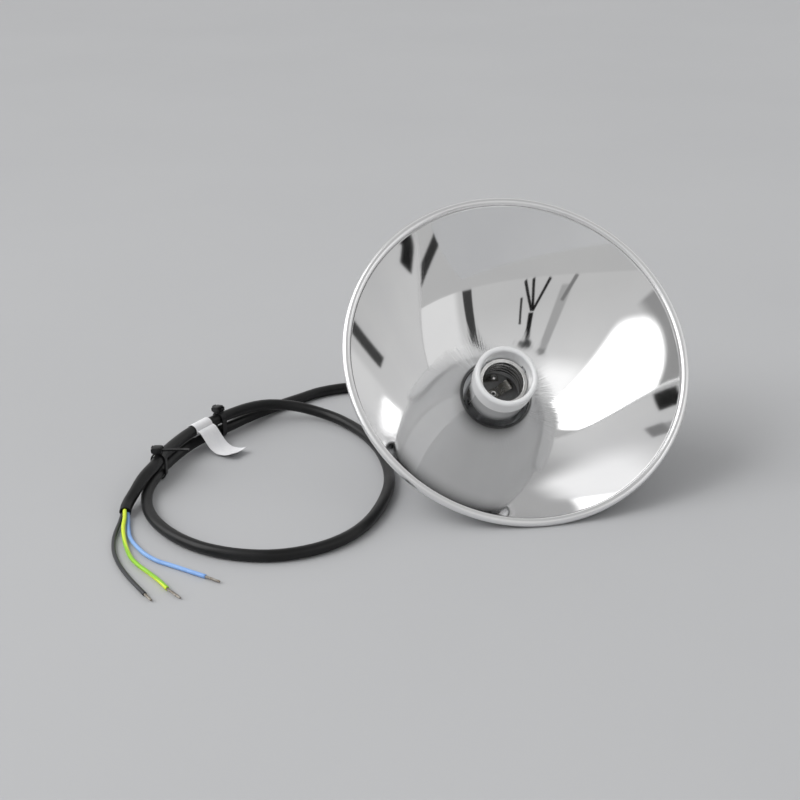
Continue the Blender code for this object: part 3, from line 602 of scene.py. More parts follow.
# %% Two cable ties
def across_cord(here, towards, height):
    """A frame at a point of the tied stretch: X across it, Y up, Z along it."""
    along = Vector((towards[0] - here[0], towards[1] - here[1], 0)).normalized()
    across = Vector((-along.y, along.x, 0))
    up = Vector((0, 0, 1))
    turn = Matrix((across, up, across.cross(up))).transposed()
    return Matrix.Translation(mm(*here, height)) @ turn.to_4x4()


def sheet(shape, points, width, steps=1, closed=False):
    """Extrudes a line of (x, y) in millimetres along Z to a sheet of this width."""
    verts = [shape.verts.new((x * MM, y * MM, -width / 2 * MM)) for x, y in points]
    edges = [shape.edges.new(pair) for pair in zip(verts, verts[1:])]
    if closed:
        edges.append(shape.edges.new((verts[-1], verts[0])))
    for _ in range(steps):
        verts, edges = extruded(shape, edges)[:2]
        bmesh.ops.translate(shape, vec=(0, 0, width / steps * MM), verts=verts)


def thickened(shape, thick):
    bmesh.ops.recalc_face_normals(shape, faces=shape.faces)
    bmesh.ops.solidify(shape, geom=shape.faces[:], thickness=thick * MM)
    return shape


def tie_loop(inner, rise, thick, width):
    """The band round both strands: a stadium, extruded along the cord and thickened."""
    shape = bmesh.new()
    sheet(shape, arc((0, rise), inner, 0, 180, 16) + arc((0, 0), inner, 180, 360, 16), width,
          closed=True)
    return thickened(shape, -thick)


def tie_tail(length, thick, width):
    """A strap end with a tooth each millimetre on one side, and a thinner tip."""
    count = length - 3
    outline = [(0, 0)]
    for i in range(count):
        outline += [(thick, -i), (thick - 0.3, -i - 0.75)]
    outline += [(thick - 0.3, -count), (thick - 0.35, -length), (0.1, -length), (0, 1 - length)]
    shape = bmesh.new()
    face = shape.faces.new([shape.verts.new((x * MM, y * MM, -width / 2 * MM))
                            for x, y in outline])
    made = bmesh.ops.extrude_face_region(shape, geom=[face])["geom"]
    bmesh.ops.translate(shape, vec=(0, 0, width * MM), verts=only(made, bmesh.types.BMVert))
    return shape


# Each tie: a point on it, a point further along the cord, the turn of its head, its tail
TIE_SPOTS = {"cable_tie_inner": ((-171, 87.2), (-178, 81.5), 100, 0),
             "cable_tie_outer": ((-213.1, 32.6), (-216, 25), 95, 20)}
TIE_INNER = CORD_R + 0.35
TIE_THICK = 0.9
HEAD_REACH = TIE_INNER + TIE_THICK / 2 + 2.1
STRAND_RISE = TIED_HIGH - TIED_LOW
for name, (here, towards, head_degrees, tail) in TIE_SPOTS.items():
    tie = tie_loop(TIE_INNER, STRAND_RISE, TIE_THICK, 3.6)
    head = block((4.2, 5.4, 5.2), (HEAD_REACH, 0, 0), 0.55)
    caps = [face for face in head.faces if abs(face.normal.y) > 0.9]
    bmesh.ops.inset_individual(head, faces=caps, thickness=0.8 * MM)
    for face in caps:
        bmesh.ops.translate(head, vec=-face.normal * 0.7 * MM, verts=face.verts)
    if tail:
        end = moved(tie_tail(tail, 1.1, 2.4), Matrix.Translation(mm(HEAD_REACH - 0.55, 0, 0)))
    else:
        end = block((1.1, 1.6, 2.4), (HEAD_REACH, -3.2, 0), 0.2)
    turn = Matrix.Translation(mm(0, STRAND_RISE, 0)) @ Matrix.Rotation(
        math.radians(head_degrees), 4, "Z")
    for part in (head, end):
        join(tie, moved(part, turn))
    finish_piece(f"{name}_nylon", tie, black_plastic, name,
                                   place=across_cord(here, towards, TIED_LOW))

# %% [markdown]
# ## The paper tag
# A strip of paper goes once round the upper strand, and its two ends are stuck together into
# a flap that curls. Paper has almost no thickness, so it's a bent sheet first: one line of
# points, extruded to the width of the tag. It then gets a small bend across the flap and its
# 0.3 mm of doubled thickness. The tag stays blank.

# %% Tag
TAG_WIDTH = 15.0
TAG_FLAP = [
    (4.3, 0.6), (5.0, 0.5), (6.5, -0.1), (8.0, -1.7), (9.6, -3.6), (11.3, -5.7), (13, -7.6),
    (15.0, -9.3), (17.4, -10.6), (19.8, -11.3), (22.4, -11.3), (24.8, -11.2), (27, -10.8),
    (29, -10.2), (31, -9.3)]
tag_shape = bmesh.new()
for line in (arc((0, 0), 4.15, -12, 340, 28), TAG_FLAP):
    sheet(tag_shape, line, TAG_WIDTH, steps=10)
# The free corners lift a little, more so towards the tip
for vert in tag_shape.verts:
    reach = max(0.0, vert.co.x / MM - 12) / 18
    side = vert.co.z / (TAG_WIDTH / 2 * MM)
    vert.co.y += (0.9 * reach ** 2 * side ** 2 + 0.5 * reach * side) * MM
tag = finish_piece("tag_blank_paper", thickened(tag_shape, 0.3), paper, "paper_tag",
                   place=across_cord((-184.5, 75.5), (-190.5, 69.5), TIED_HIGH), flat_angle=40)

# %% [markdown]
# The three cores leave the end of the jacket and end bare, as the real ones do.

# %% [markdown]
# ## The polished bowl
# A spinner presses an aluminium disc over a turning block, and a polishing wheel follows. The
# skin ends as a mirror, dulled a little by fine rings from the tool and, near the hole where
# the wheel can't reach, by short radial streaks. The material works in polar coordinates about
# the bowl's axis: a Mapping node takes Object coordinates to the lamp's own axes first.

# %% Polished aluminium
def polished_aluminium():
    material, tree, shader = new_material("polished_aluminium")
    own = lamp_place(tree)
    split = add(tree, "SeparateXYZ", {"Vector": own}).outputs
    radius = distance(tree, own, FROM_AXIS)
    angle = calc(tree, "ARCTAN2", split["Y"], split["X"])
    # Rings: a noise that changes with the radius only
    rings = add(tree, "TexNoise", {"W": radius, "Scale": 900, "Detail": 3},
                noise_dimensions="1D").outputs["Fac"]
    # Streaks: a noise that changes fast round the axis and slowly outwards
    polar = add(tree, "CombineXYZ", {"X": calc(tree, "MULTIPLY", radius, 60),
                                     "Y": calc(tree, "MULTIPLY", angle, 34)}).outputs["Vector"]
    streaks = add(tree, "TexNoise", {"Vector": polar, "Scale": 1, "Detail": 3},
                  noise_dimensions="2D").outputs["Fac"]
    # Near the hole the streaks count, and far from it they fade out
    near = ramp(tree, radius, 26 * MM, 50 * MM, 1, 0, "SMOOTHSTEP")
    dull = calc(tree, "MULTIPLY", streaks, near)
    # The reflecting surface is a mirror, and the rolled bead is satin
    mouth = RIM_R - 2 * BEAD_R
    satin = ramp(tree, radius, mouth - 0.2 * MM, mouth + 0.4 * MM, 0, 0.24)
    rough = calc(tree, "ADD", calc(tree, "MULTIPLY_ADD", dull, 0.16, 0.045), satin)
    tint = toned(tree, (0.90, 0.90, 0.90), (0.87, 0.87, 0.875), 25)
    feed(shader, {"Metallic": 1, "Base Color": tint["Colour"], "Roughness": rough,
                  "Normal": bumped(tree, dull, 0.5, 0.12, bumped(tree, rings, 0.05, 0.02))})
    return material


def satin_back():
    """The unpolished outside: fine rings from the spinning tool and a broad, soft gloss."""
    material = finish("spun_aluminium_back", (0.66, 0.66, 0.665), (0.58, 0.58, 0.585),
                      (0.34, 0.46), 1.0, 18.0)
    tree = material.node_tree
    height = add(tree, "SeparateXYZ", {"Vector": lamp_place(tree)}).outputs["Z"]
    rings = add(tree, "TexNoise", {"W": height, "Scale": 1400, "Detail": 4},
                noise_dimensions="1D").outputs["Fac"]
    feed(tree.nodes["Principled BSDF"], {"Normal": bumped(tree, rings, 0.5, 0.04)})
    return material

# %% [markdown]
# The reflecting surface is a parabola from the hole to the rim, and the wall is 1 mm thick.
# The edge is rolled outwards into a bead, whose end tucks back against the wall. In a mirror
# every flat facet shows, so this line has many points and 256 steps round.

# %% Bowl
HOLE_R = 21.0
MOUTH_R = (RIM_R - 2 * BEAD_R) / MM
DEPTH = 64.0
WALL = 1.0
NECK_END = 79.0


def dish(radius):
    """Height of the reflecting surface, in millimetres below the rim plane."""
    return DEPTH * ((radius ** 2 - HOLE_R ** 2) / (MOUTH_R ** 2 - HOLE_R ** 2) - 1)


def dish_angle(radius):
    return math.atan(2 * radius * DEPTH / (MOUTH_R ** 2 - HOLE_R ** 2))


def bowl_profile():
    rings = [22.4 + (MOUTH_R - 0.5 - 22.4) * i / 60 for i in range(61)]
    bead_x = (RIM_R - BEAD_R) / MM
    line = arc((bead_x, 0), BEAD_R / MM, 180, -118, 30)
    # The rolled edge ends in a small step against the outside of the wall
    line += [(bead_x - 1.45, -2.35), (bead_x - 1.7, -2.0)]
    outer = []
    for radius in rings:
        angle = dish_angle(radius)
        outer.append((radius + WALL * math.sin(angle), dish(radius) - WALL * math.cos(angle)))
    line += [point for point in reversed(outer) if point[1] < -2.6]
    line += arc((HOLE_R + WALL + 1.2, -DEPTH - 2.3), 1.2, 90, 180, 5)
    line += [(HOLE_R + WALL, -NECK_END), (HOLE_R + WALL * 0.5, -NECK_END - 0.3),
             (HOLE_R, -NECK_END)]
    line += arc((HOLE_R + 1.2, -DEPTH - 1.15), 1.2, 180, 95, 6)
    line += [(radius, dish(radius)) for radius in rings]
    return line


bowl = finish_piece("bowl", spun(bowl_profile(), 256, closed=True), polished_aluminium(),
                    "reflector_bowl", flat_angle=50)

# Only the inside is polished: the faces that look backwards keep the spun finish
bowl.data.materials.append(satin_back())
TO_LAMP = LAMP.inverted()
for face in bowl.data.polygons:
    facing = TO_LAMP.to_3x3() @ face.normal
    middle = TO_LAMP @ face.center
    if middle.z < -2.6 * MM and facing.dot(Vector((middle.x, middle.y, 0))) > 0:
        face.material_index = 1
print("bowl", len(bowl.data.polygons), "faces")

# %% [markdown]
# ## The porcelain lampholder
# The body is cast, glazed and fired, so each edge is round. The mouth has a full round lip, a
# slightly conical inner wall, a ledge that carries the metal shell, and a waist below the
# sleeve. The two flats of the waist are made by moving points after the spin, and the recesses
# in the ledge and the eyelet's hole are cut with booleans.

# %% Lampholder body
def holder_shape():
    line = [(0, -66), (14.0, -66), (14.8, -65.2), (14.8, -43.4), (15.0, -42.9)]
    line += [(15.5, -42.6), (16.15, -33.5)]
    line += arc((18.0, -32.45), 1.8, 175, 5, 12)
    line += [(19.8, -33.5), (19.8, -42.9)] + arc((19.2, -43.2), 0.6, 0, -80, 4)
    line += [(18.9, -44.1), (18.6, -44.7), (18.6, -76.8)] + arc((17.4, -76.8), 1.2, 0, -90, 4)
    line += [(4.2, -78), (3.8, -77.4), (0, -77.4)]
    return spun(line, 128)


FLAT_X = 17.6 * MM
EYELET = (-1.6, 0.8)
STRAP = (0.5, 11.8)
NOTCH_TURNS = (25, 130)
holder_bmesh = holder_shape()
for vert in holder_bmesh.verts:
    if vert.co.z < -44.5 * MM and abs(vert.co.x) > FLAT_X:
        vert.co.x = math.copysign(FLAT_X, vert.co.x)
holder = finish_piece("lampholder_body", holder_bmesh, glaze, "porcelain_holder")


def carved(piece, cutters):
    """Cuts these bmeshes, in the lamp's own axes, from a piece and keeps what is left."""
    tools = []
    for shape in cutters:
        bmesh.ops.recalc_face_normals(shape, faces=shape.faces)
        tools.append(object_from(moved(shape, LAMP), "cutter"))
        step = piece.modifiers.new("cut", "BOOLEAN")
        step.operation, step.solver, step.object = "DIFFERENCE", "EXACT", tools[-1]
    bpy.context.view_layer.update()
    ready = piece.evaluated_get(bpy.context.evaluated_depsgraph_get())
    whole, piece.data = piece.data, bpy.data.meshes.new_from_object(ready)
    piece.modifiers.clear()
    for mesh in [whole] + [tool.data for tool in tools]:
        bpy.data.meshes.remove(mesh)
    piece.data.name = piece.name
    shade_smoothly(piece.data)


# Two recesses in the wall for the shell's tongues, and the eyelet's hole in the floor
cuts = []
for degrees in NOTCH_TURNS:
    turn = Matrix.Rotation(math.radians(degrees), 4, "Z")
    cuts.append(block((3.4, 4.6, 3.6), turn @ Vector((15.5, 0, -41.4)), 0.4, turn))
hole = bmesh.new()
bmesh.ops.create_cone(hole, cap_ends=True, segments=32, radius1=1.4 * MM, radius2=1.4 * MM,
                      depth=12 * MM, matrix=Matrix.Translation(mm(*EYELET, -71.5)))
carved(holder, cuts + [hole])
# The cavity's floor takes the dark grey of painted shade.
holder.data.materials.append(cavity_painted_shade)
# The waist below the sleeve takes the glaze with painted shade towards the gap.
holder.data.materials.append(glaze_painted_gap_shade)
for face in holder.data.polygons:
    middle = TO_LAMP @ face.center
    if -77.2 * MM < middle.z < -60 * MM and middle.xy.length < 14.7 * MM:
        face.material_index = 1
    elif middle.z < -44.6 * MM and middle.xy.length > 15.2 * MM:
        face.material_index = 2

# %% [markdown]
# ## The threaded shell
# A lamp's cap screws into a thin rolled shell. Its thread is a true helix here: a wave one
# pitch long is spun round the axis while it climbs by one pitch for each turn, so each turn
# meets the last, and their doubles merge into one skin. Two cuts square the ends.

# %% Threaded shell
THREAD_PITCH = 3.62
THREAD_HALF = 0.5
SHELL_R = 13.55


def thread_shape():
    shape = bmesh.new()
    wave = [(SHELL_R + THREAD_HALF * math.cos(2 * math.pi * part), THREAD_PITCH * part)
            for part in (i / 12 for i in range(13))]
    verts = [shape.verts.new((r * MM, 0, z * MM)) for r, z in wave]
    edges = [shape.edges.new(pair) for pair in zip(verts, verts[1:])]
    turns, steps = 6, 96
    bmesh.ops.spin(shape, geom=verts + edges, cent=(0, 0, 0), axis=(0, 0, 1),
                   dvec=(0, 0, THREAD_PITCH * MM / steps), angle=2 * math.pi * turns,
                   steps=steps * turns)
    bmesh.ops.translate(shape, vec=(0, 0, -64.5 * MM), verts=shape.verts)
    bmesh.ops.remove_doubles(shape, verts=shape.verts, dist=0.00002)
    for height, up in ((-43.0, 1), (-57.6, -1)):
        bmesh.ops.bisect_plane(shape, geom=everything(shape), plane_co=(0, 0, height * MM),
                               plane_no=(0, 0, up), clear_outer=True)
    return shape


shell = finish_piece("threaded_shell_helix", thread_shape(), thread_nickel_painted_groove_shade,
                     "threaded_shell", flat_angle=60)
wall = shell.modifiers.new("sheet", "SOLIDIFY")
wall.thickness = 0.3 * MM
wall.offset = 0

lip_line = [(12.85, -43.2), (12.8, -42.2)] + arc((13.3, -42.1), 0.5, 180, 95, 6)
lip_line += [(14.0, -41.5), (15.0, -41.3), (15.05, -41.6), (13.4, -41.95), (13.15, -42.2)]
lip_line += [(13.1, -43.2)]
finish_piece("shell_lip", spun(lip_line, closed=True), nickel)

# %% [markdown]
# Two tongues of the shell are bent over the ledge and keep it from turning.

# %% Shell tongues
for number, degrees in enumerate(NOTCH_TURNS):
    turn = Matrix.Rotation(math.radians(degrees), 4, "Z")
    tongue = block((2.4, 4.2, 0.5), turn @ Vector((15.1, 0, -41.9)), 0.2, turn)
    join(tongue, block((0.5, 3.0, 1.6), turn @ Vector((15.9, 0, -41.2)), 0.2, turn))
    finish_piece(f"shell_tongue_{number}", tongue, zinc)

# %% [markdown]
# ## Contacts in the socket
# The middle contact is a springy brass leaf that an eyelet holds at its other end. A lamp's
# tip presses it down, so the leaf rides on its own body and turns about the hinge line. Its
# side profile is a line that is extruded to the width of the strip.

# %% Centre contact
leaf_turn = Matrix.Rotation(math.radians(24), 4, "Z")
LEAF_PLACE = LAMP @ Matrix.Translation(mm(1.323, 2.102, -65.4)) @ leaf_turn


def bent_strip(line, widths, thick):
    """A strip of sheet along a side profile, with its own width at each point."""
    shape = bmesh.new()
    rows = []
    for (along, up), width in zip(line, widths):
        rows.append([shape.verts.new((along * MM, side * width / 2 * MM, up * MM))
                     for side in (-1, 1)])
    for first, second in zip(rows, rows[1:]):
        shape.faces.new((first[0], first[1], second[1], second[0]))
    return thickened(shape, thick)


leaf_line = [
    (0.4, 0.1), (1.4, 0.65), (2.4, 1.3), (3.6, 2.1), (4.8, 2.9), (5.7, 3.5), (6.6, 4.1),
    (7.3, 4.45), (8.0, 4.6), (8.7, 4.55), (9.4, 4.3), (10.0, 3.9), (10.4, 3.5)]
leaf_widths = [6.4, 6.45, 6.5, 6.6, 6.7, 6.75, 6.8, 6.8, 6.8, 6.75, 6.6, 6.2, 5.4]
finish_piece("contact_leaf_spring", bent_strip(leaf_line, leaf_widths, 0.5), plated,
             "centre_contact_leaf", body="contact_leaf", place=LEAF_PLACE)

# %% [markdown]
# The eyelet and the rivet are turned lines again, with the round heads that a setting tool
# leaves. The eyelet runs right through the floor of the holder, and the rivet ends in it.

# %% Eyelet and rivet
eyelet_line = [(0.9, -63.9)] + arc((1.55, -64.3), 0.55, 130, 10, 6) + [
    (2.3, -64.75), (2.3, -64.95), (1.5, -65.0), (1.5, -77.6), (0.9, -77.6)]
finish_piece("contact_eyelet_rolled", spun(eyelet_line, 32, closed=True, at=EYELET), nickel,
             "contact_eyelet")
dome = [(0, -63.6), (0.6, -63.65), (1.2, -63.85), (1.7, -64.15), (2.1, -64.6), (2.2, -64.9),
        (1.5, -64.95), (1.5, -68.4), (0, -68.4)]
finish_piece("strap_rivet_domed", spun(dome, 32, at=STRAP), nickel, "strap_rivet")

# %% [markdown]
# ## Parts that keep their CAD shape
# The flat brass and steel parts have the right shape in CAD, but real stamped and moulded
# edges are never sharp. A copy of each mesh is merged and cleaned to flat faces, and a small
# bevel breaks its edges. The CAD nodes themselves are left alone.

# %% Softened copies of stamped and moulded parts
def softened(node, name, material, radius):
    """A copy of a CAD part whose edges are rounded by this many millimetres."""
    shape = bmesh.new()
    shape.from_mesh(frame["nodes"][node].data)
    bmesh.ops.remove_doubles(shape, verts=shape.verts, dist=0.00001)
    bmesh.ops.dissolve_limit(shape, angle_limit=math.radians(2), verts=shape.verts,
                             edges=shape.edges)
    edges = [edge for edge in shape.edges if edge.is_manifold
             and edge.calc_face_angle(0) > math.radians(40)]
    bmesh.ops.bevel(shape, geom=edges, offset=radius * MM, segments=2, profile=0.5,
                    affect="EDGES", material=-1, clamp_overlap=True)
    return finish_piece(name, shape, material, node, place=Matrix.Identity(4))


for node, name, material, slot, radius in (
        ("mounting_bracket", "bracket_bent_steel", zinc, "steel", 0.35),
        ("terminal_block_line", "terminal_line_brass", brass, "brass", 0.25),
        ("terminal_block_neutral", "terminal_neutral_brass", brass, "brass", 0.25),
        ("side_contact_strap", "side_strap_brass", plated, "brass", 0.08),
        ("centre_contact_foot", "leaf_foot_brass", plated, "brass", 0.08),
        ("gland_body", "gland_hexagon", black_plastic, "black_plastic", 0.4),
        ("gland_locknut", "gland_locknut_hexagon", black_plastic, "black_plastic", 0.3),
        ("earth_lug", "earth_lug_tinned", nickel, "nickel", 0.12),
        ("earth_nut", "earth_nut_hexagon", zinc, "steel", 0.25),
        ("terminal_screw_line", "terminal_screw_line_slotted", zinc, "steel", 0.12),
        ("terminal_screw_neutral", "terminal_screw_neutral_slotted", zinc, "steel", 0.12)):
    made = softened(node, name, material, radius)
    print(name, len(made.data.polygons), "faces")

# %% [markdown]
# ## Fasteners
# The screws come through the plate from behind. A head is a turned line, and its slot is a
# strip between two cuts that moves in. The spacers, the washer and the gland's seal are all
# turned as well.

# %% Screws, spacers, washer and seal
PLATE = -89.5       # the back of the bracket, from the rim
SLOT_HALF = 0.45
SCREW_SPOTS = {"base_screw_lower": ((0, -13), -70.9), "base_screw_upper": ((0, 13), -70.9),
               "earth_screw": ((-15, 0), -80.6)}


def slotted_screw(at, tip):
    under = PLATE - 0.3
    line = [(0, tip), (1.4, tip), (2.0, tip - 0.6), (2.0, under), (3.45, under),
            (3.5, under - 0.1), (3.5, under - 1.1)]
    line += arc((2.6, under - 1.1), 0.9, 0, -75, 5) + [(0, under - 2.05)]
    shape = spun(line, 40, at=at)
    # The slot: two cuts across the head, and the strip between them moves in
    for side in (-1, 1):
        bmesh.ops.bisect_plane(shape, geom=everything(shape), plane_no=(0, 1, 0),
                               plane_co=(0, (at[1] + side * SLOT_HALF) * MM, 0))
    strip = [face for face in shape.faces
             if abs(face.calc_center_median().y - at[1] * MM) < SLOT_HALF * MM
             and face.calc_center_median().z < (under - 1.2) * MM]
    made = bmesh.ops.extrude_face_region(shape, geom=strip)["geom"]
    bmesh.ops.delete(shape, geom=strip, context="FACES_ONLY")
    for vert in only(made, bmesh.types.BMVert):
        vert.co.z = (under - 1.0) * MM
    return shape


for name, (at, tip) in SCREW_SPOTS.items():
    finish_piece(f"{name}_slotted", slotted_screw(at, tip), zinc, name)

SPACER = [
    (2.3, -78.4), (2.4, -78.3), (3.3, -78.3), (3.5, -78.5), (3.5, -87.5), (3.3, -87.7),
    (2.4, -87.7), (2.3, -87.6)]
WASHER = [(2.3, -86.6), (3.7, -86.6), (3.9, -86.4), (3.9, -86.1), (3.7, -85.9), (2.3, -85.9)]
SEAL = [(3.85, -93.7), (5.8, -93.7), (5.8, -96.2), (3.85, -96.6)]
for name, line, at, material, slot in (
        ("spacer_lower", SPACER, (0, -13), nickel, "nickel"),
        ("spacer_upper", SPACER, (0, 13), nickel, "nickel"),
        ("earth_washer", WASHER, (-15, 0), zinc, "steel"),
        ("gland_seal", SEAL, (GLAND_X, GLAND_Y), rubber, "black_rubber")):
    finish_piece(f"{name}_turned", spun(line, 40, closed=True, at=at), material, name)

# %% [markdown]
# The gland's nut has grip ribs all round. They are pairs of faces of the outer wall that are
# inset a little and pushed in between the ribs.

# %% Gland nut with ribs
nut_line = [(6.2, -93.6), (7.3, -93.6), (7.5, -93.8), (7.5, -96.5)] + arc(
    (6.6, -96.7), 0.9, 0, -55, 4) + [(5.6, -98.3), (4.6, -98.5), (3.95, -98.45), (3.85, -98.3),
                                     (3.85, -97.1), (6.2, -96.7)]
gland_nut = spun(nut_line, 72, closed=True, at=(GLAND_X, GLAND_Y))
RIB_TURN, GAP_TURN = 15, 9.9      # in degrees
wall_faces = []
for face in gland_nut.faces:
    reach = face.calc_center_median() - mm(GLAND_X, GLAND_Y, 0)
    turn = math.degrees(math.atan2(reach.y, reach.x)) % RIB_TURN
    if (turn < GAP_TURN and reach.xy.length > 7.4 * MM
            and -96.4 * MM < reach.z < -93.9 * MM):
        wall_faces.append(face)
bmesh.ops.inset_region(gland_nut, faces=wall_faces, thickness=0.12 * MM, depth=-0.35 * MM)
finish_piece("gland_nut_ribbed", gland_nut, black_plastic, "gland_nut")

# %% [markdown]
# Two blind rivets hold the bowl's neck to the sides of the bracket. One turned line serves
# both, laid over to the left and to the right.

# %% Neck rivets
rivet_line = [
    (0.5, 25.3), (1.2, 25.25), (2.0, 25.1), (2.6, 24.8), (3.0, 24.4), (3.1, 24.2), (1.6, 24.2),
    (1.6, 20.7), (2.1, 20.65), (2.2, 20.3), (2.2, 19.4), (1.6, 18.8), (0.9, 18.75), (0.5, 18.9)]
for name, side in (("left", -90), ("right", 90)):
    shape = spun(rivet_line, 36)
    close_holes(shape)
    out = Matrix.Translation((0, 0, -74 * MM)) @ Matrix.Rotation(math.radians(side), 4, "Y")
    finish_piece(f"neck_rivet_{name}_blind", shape, nickel, f"neck_rivet_{name}",
                 place=LAMP @ out)

# %% [markdown]
# ## Wires behind the holder
# Inside the bracket the jacket has ended, and the three cores run to the two terminals and
# to the earth lug.

# %% Inner wires
INNER = {
    "inner_wire_line": ("black", [
        (10.2, 6.7, -85.6), (9.6, 7.2, -82), (6.5, 7.4, -80.4), (2, 7.5, -80.7),
        (-2, 7.5, -81.6), (-5.2, 7.5, -81.8)]),
    "inner_wire_neutral": ("blue", [
        (11.3, 4.0, -85.6), (11.2, 3, -82.4), (8.6, 0, -80.6), (4, -4, -80.7),
        (-0.5, -6.6, -81.6), (-5.2, -7, -81.8)]),
    "inner_wire_earth": ("green_yellow", [
        (8.5, 4.1, -85.6), (8.3, 4.0, -83.2), (6.6, 3.2, -81.5), (3, 1.6, -81.6),
        (-0.8, 0.5, -83.4), (-4, 0, -85.2), (-6.4, 0, -85.7)]),
}
for name, (colour, knots) in INNER.items():
    wire = swept(smooth_route(in_metres(knots), 1.2 * MM), CORE_R, 12)[0]
    finish_piece(f"{name}_insulation", wire, CORE_PAINT[colour], name,
                 flat_angle=50)

# %% [markdown]
# ## Floor and light
# The lamp lies on a plain pale floor. A polished bowl shows the room more than itself, so the
# room is where its look comes from. A mirror also shows where the table ends, so for glossy
# rays the floor ends near the bowl, and the camera and the shadows see the whole of it. The
# world is a plain grey studio with one large window to the left, weaker ones in front, a darker
# corner behind on the right and a stand's thin dark legs, so the mirror has something to draw.

# %% Floor
floor_material = finish("plain_floor", (0.47, 0.475, 0.485), (0.46, 0.465, 0.475), (0.65, 0.7),
                        0.0, 3.0, 60.0, 0.0)
TABLE_FRONT = -0.22
TABLE_RIGHT = 0.17
tree = floor_material.node_tree
spot = add(tree, "SeparateXYZ", {"Vector": own_place(tree)}).outputs
beyond = calc(tree, "MAXIMUM", calc(tree, "LESS_THAN", spot["Y"], TABLE_FRONT),
              calc(tree, "GREATER_THAN", spot["X"], TABLE_RIGHT))
in_mirror = calc(tree, "MULTIPLY", beyond, add(tree, "LightPath").outputs["Is Glossy Ray"])
surface = add(tree, "MixShader", {"Fac": in_mirror,
                                  1: tree.nodes["Principled BSDF"].outputs["BSDF"],
                                  2: add(tree, "BsdfTransparent").outputs["BSDF"]})
feed(tree.nodes["Material Output"], {"Surface": surface.outputs["Shader"]})
ground = bmesh.new()
bmesh.ops.create_grid(ground, x_segments=1, y_segments=1, size=12.0)
floor = object_from(ground, "floor")
floor.data.materials.append(floor_material)

# %% [markdown]
# A patch of the room is placed by two angles, as seen from the lamp: the turn to its right or
# left from straight in front, and the height above the floor. A Mapping node moves and turns
# these angles to the patch's own middle, and two soft steps give its edges.

# %% Studio room
world = bpy.data.worlds.new("grey_studio")
bpy.context.scene.world = world
world.use_nodes = True
sky = world.node_tree
looks = add(sky, "SeparateXYZ", {"Vector": add(sky, "TexCoord").outputs["Generated"]}).outputs
turn_right = calc(sky, "DEGREES", calc(sky, "ARCTAN2", looks["X"],
                                       calc(sky, "MULTIPLY", looks["Y"], -1)))
height = calc(sky, "DEGREES", calc(sky, "ARCSINE", looks["Z"]))
angles = add(sky, "CombineXYZ", {"X": turn_right, "Y": height}).outputs["Vector"]


def patch_mask(middle, half, tilt, soft):
    """1 inside the patch and 0 outside, with soft edges; all in degrees."""
    place = add(sky, "Mapping", {"Vector": angles, "Location": (*middle, 0),
                                 "Rotation": (0, 0, math.radians(tilt))}, vector_type="TEXTURE")
    own = add(sky, "SeparateXYZ", {"Vector": place.outputs["Vector"]}).outputs
    return calc(sky, "MULTIPLY", *(
        ramp(sky, calc(sky, "ABSOLUTE", own[axis]), reach - soft, reach + soft, 1, 0,
             "SMOOTHSTEP") for axis, reach in zip("XY", half)))


def painted_over(below, mask, level):
    rest = calc(sky, "MULTIPLY", below, calc(sky, "SUBTRACT", 1, mask))
    return calc(sky, "ADD", rest, calc(sky, "MULTIPLY", mask, level))


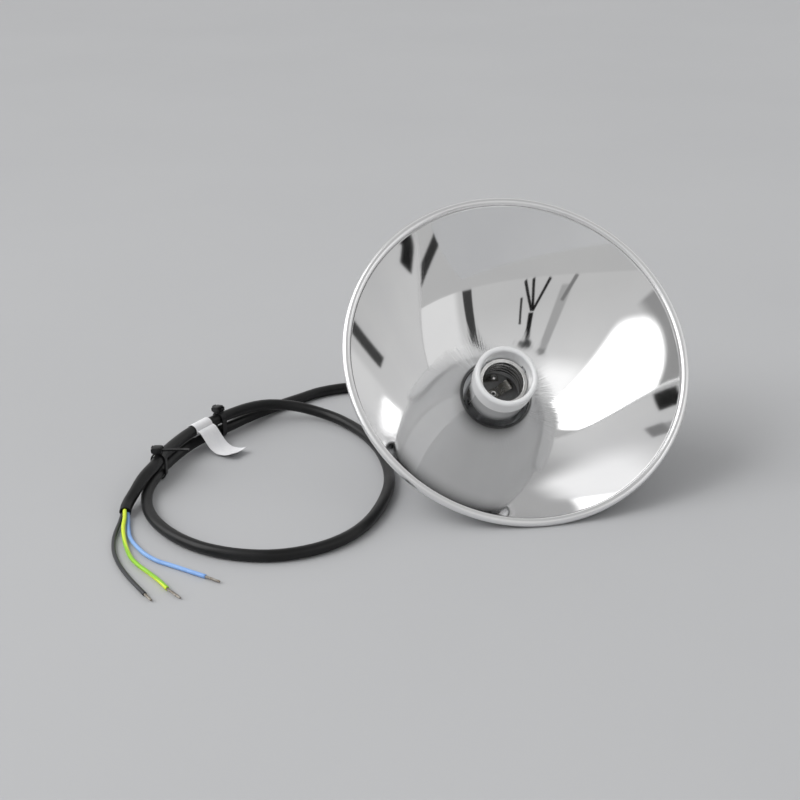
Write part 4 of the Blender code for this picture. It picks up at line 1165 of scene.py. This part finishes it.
# Each patch: (turn, height), (half width, half height), tilt, softness, brightness
PATCHES = [
    ((0, 75), (200, 25), 0, 10, 0.46),
    ((78, 12), (40, 30), 0, 3, 0.76),
    ((-54, 52), (18, 18), 0, 9, 1.1),
    ((-100, 38), (28, 27), 0, 4, 3.2),
    ((-97, 16), (26, 3), -34, 1.5, 0.30),
    ((54, 34), (13, 4), 12, 1.5, 2.0),
    ((81, 51), (23, 1.5), 34, 0.6, 0.06),
    ((28, 4), (3.4, 17), 6, 0.5, 0.05),
    ((-34, 9), (3.0, 18), -8, 0.7, 0.38),
    ((-31.5, 26), (3.2, 2.2), 0, 0.6, 0.24),
    ((-38, -7), (1.1, 5), -25, 0.4, 0.20),
    ((-17, 20.5), (5.0, 2.5), 0, 0.4, 0.01),
    ((-18, 10), (1.7, 9), 0, 0.4, 0.01),
    ((-10.5, 0), (0.8, 7), 4, 0.3, 0.03),
    ((-22.5, -6.5), (0.9, 7.5), -28, 0.3, 0.01),
    ((-17.5, -7), (0.9, 7.5), 12, 0.3, 0.01),
    ((-14.5, -7), (0.9, 8), 27, 0.3, 0.01),
]
TABLE_SLOPE = 0.27      # the table's front edge is a straight line, this far below the eye
TABLE_LEVEL = 0.485
STAND_FOOT = ((55.5, -21), (1.8, 16), -48, 0.5, 0.03)
BACKDROP_LEVEL = 0.46
brightness = ramp(sky, height, -5, 45, 0.54, 0.74)
for *place, level in PATCHES:
    brightness = painted_over(brightness, patch_mask(*place), level)
slope = calc(sky, "MULTIPLY", calc(sky, "ABSOLUTE", looks["Y"]), -TABLE_SLOPE)
brightness = painted_over(brightness, calc(sky, "LESS_THAN", looks["Z"], slope), TABLE_LEVEL)
brightness = painted_over(brightness, patch_mask(*STAND_FOOT[:4]), STAND_FOOT[4])
# The camera itself sees a plain pale backdrop beyond the floor
seen = add(sky, "LightPath").outputs["Is Camera Ray"]
feed(sky.nodes["Background"],
     {"Color": (1, 1, 1, 1), "Strength": painted_over(brightness, seen, BACKDROP_LEVEL)})
world.cycles.sampling_method = "MANUAL"
world.cycles.sample_map_resolution = 512
bpy.context.scene.view_settings.view_transform = "Standard"
print(len(PATCHES), "patches in the room")

# %% [markdown]
# One soft area light gives the floor its faint shadows. It doesn't show in the mirror, which
# already has the painted windows.

# %% Key light
key_data = bpy.data.lights.new("soft_key", "AREA")
key_data.size = 0.9
key_data.energy = 9
key = bpy.data.objects.new("soft_key", key_data)
key.location = (-1.5, -0.5, 1.5)
key.rotation_euler = Vector(key.location).to_track_quat("Z", "Y").to_euler()
key.visible_glossy = False
bpy.context.scene.collection.objects.link(key)
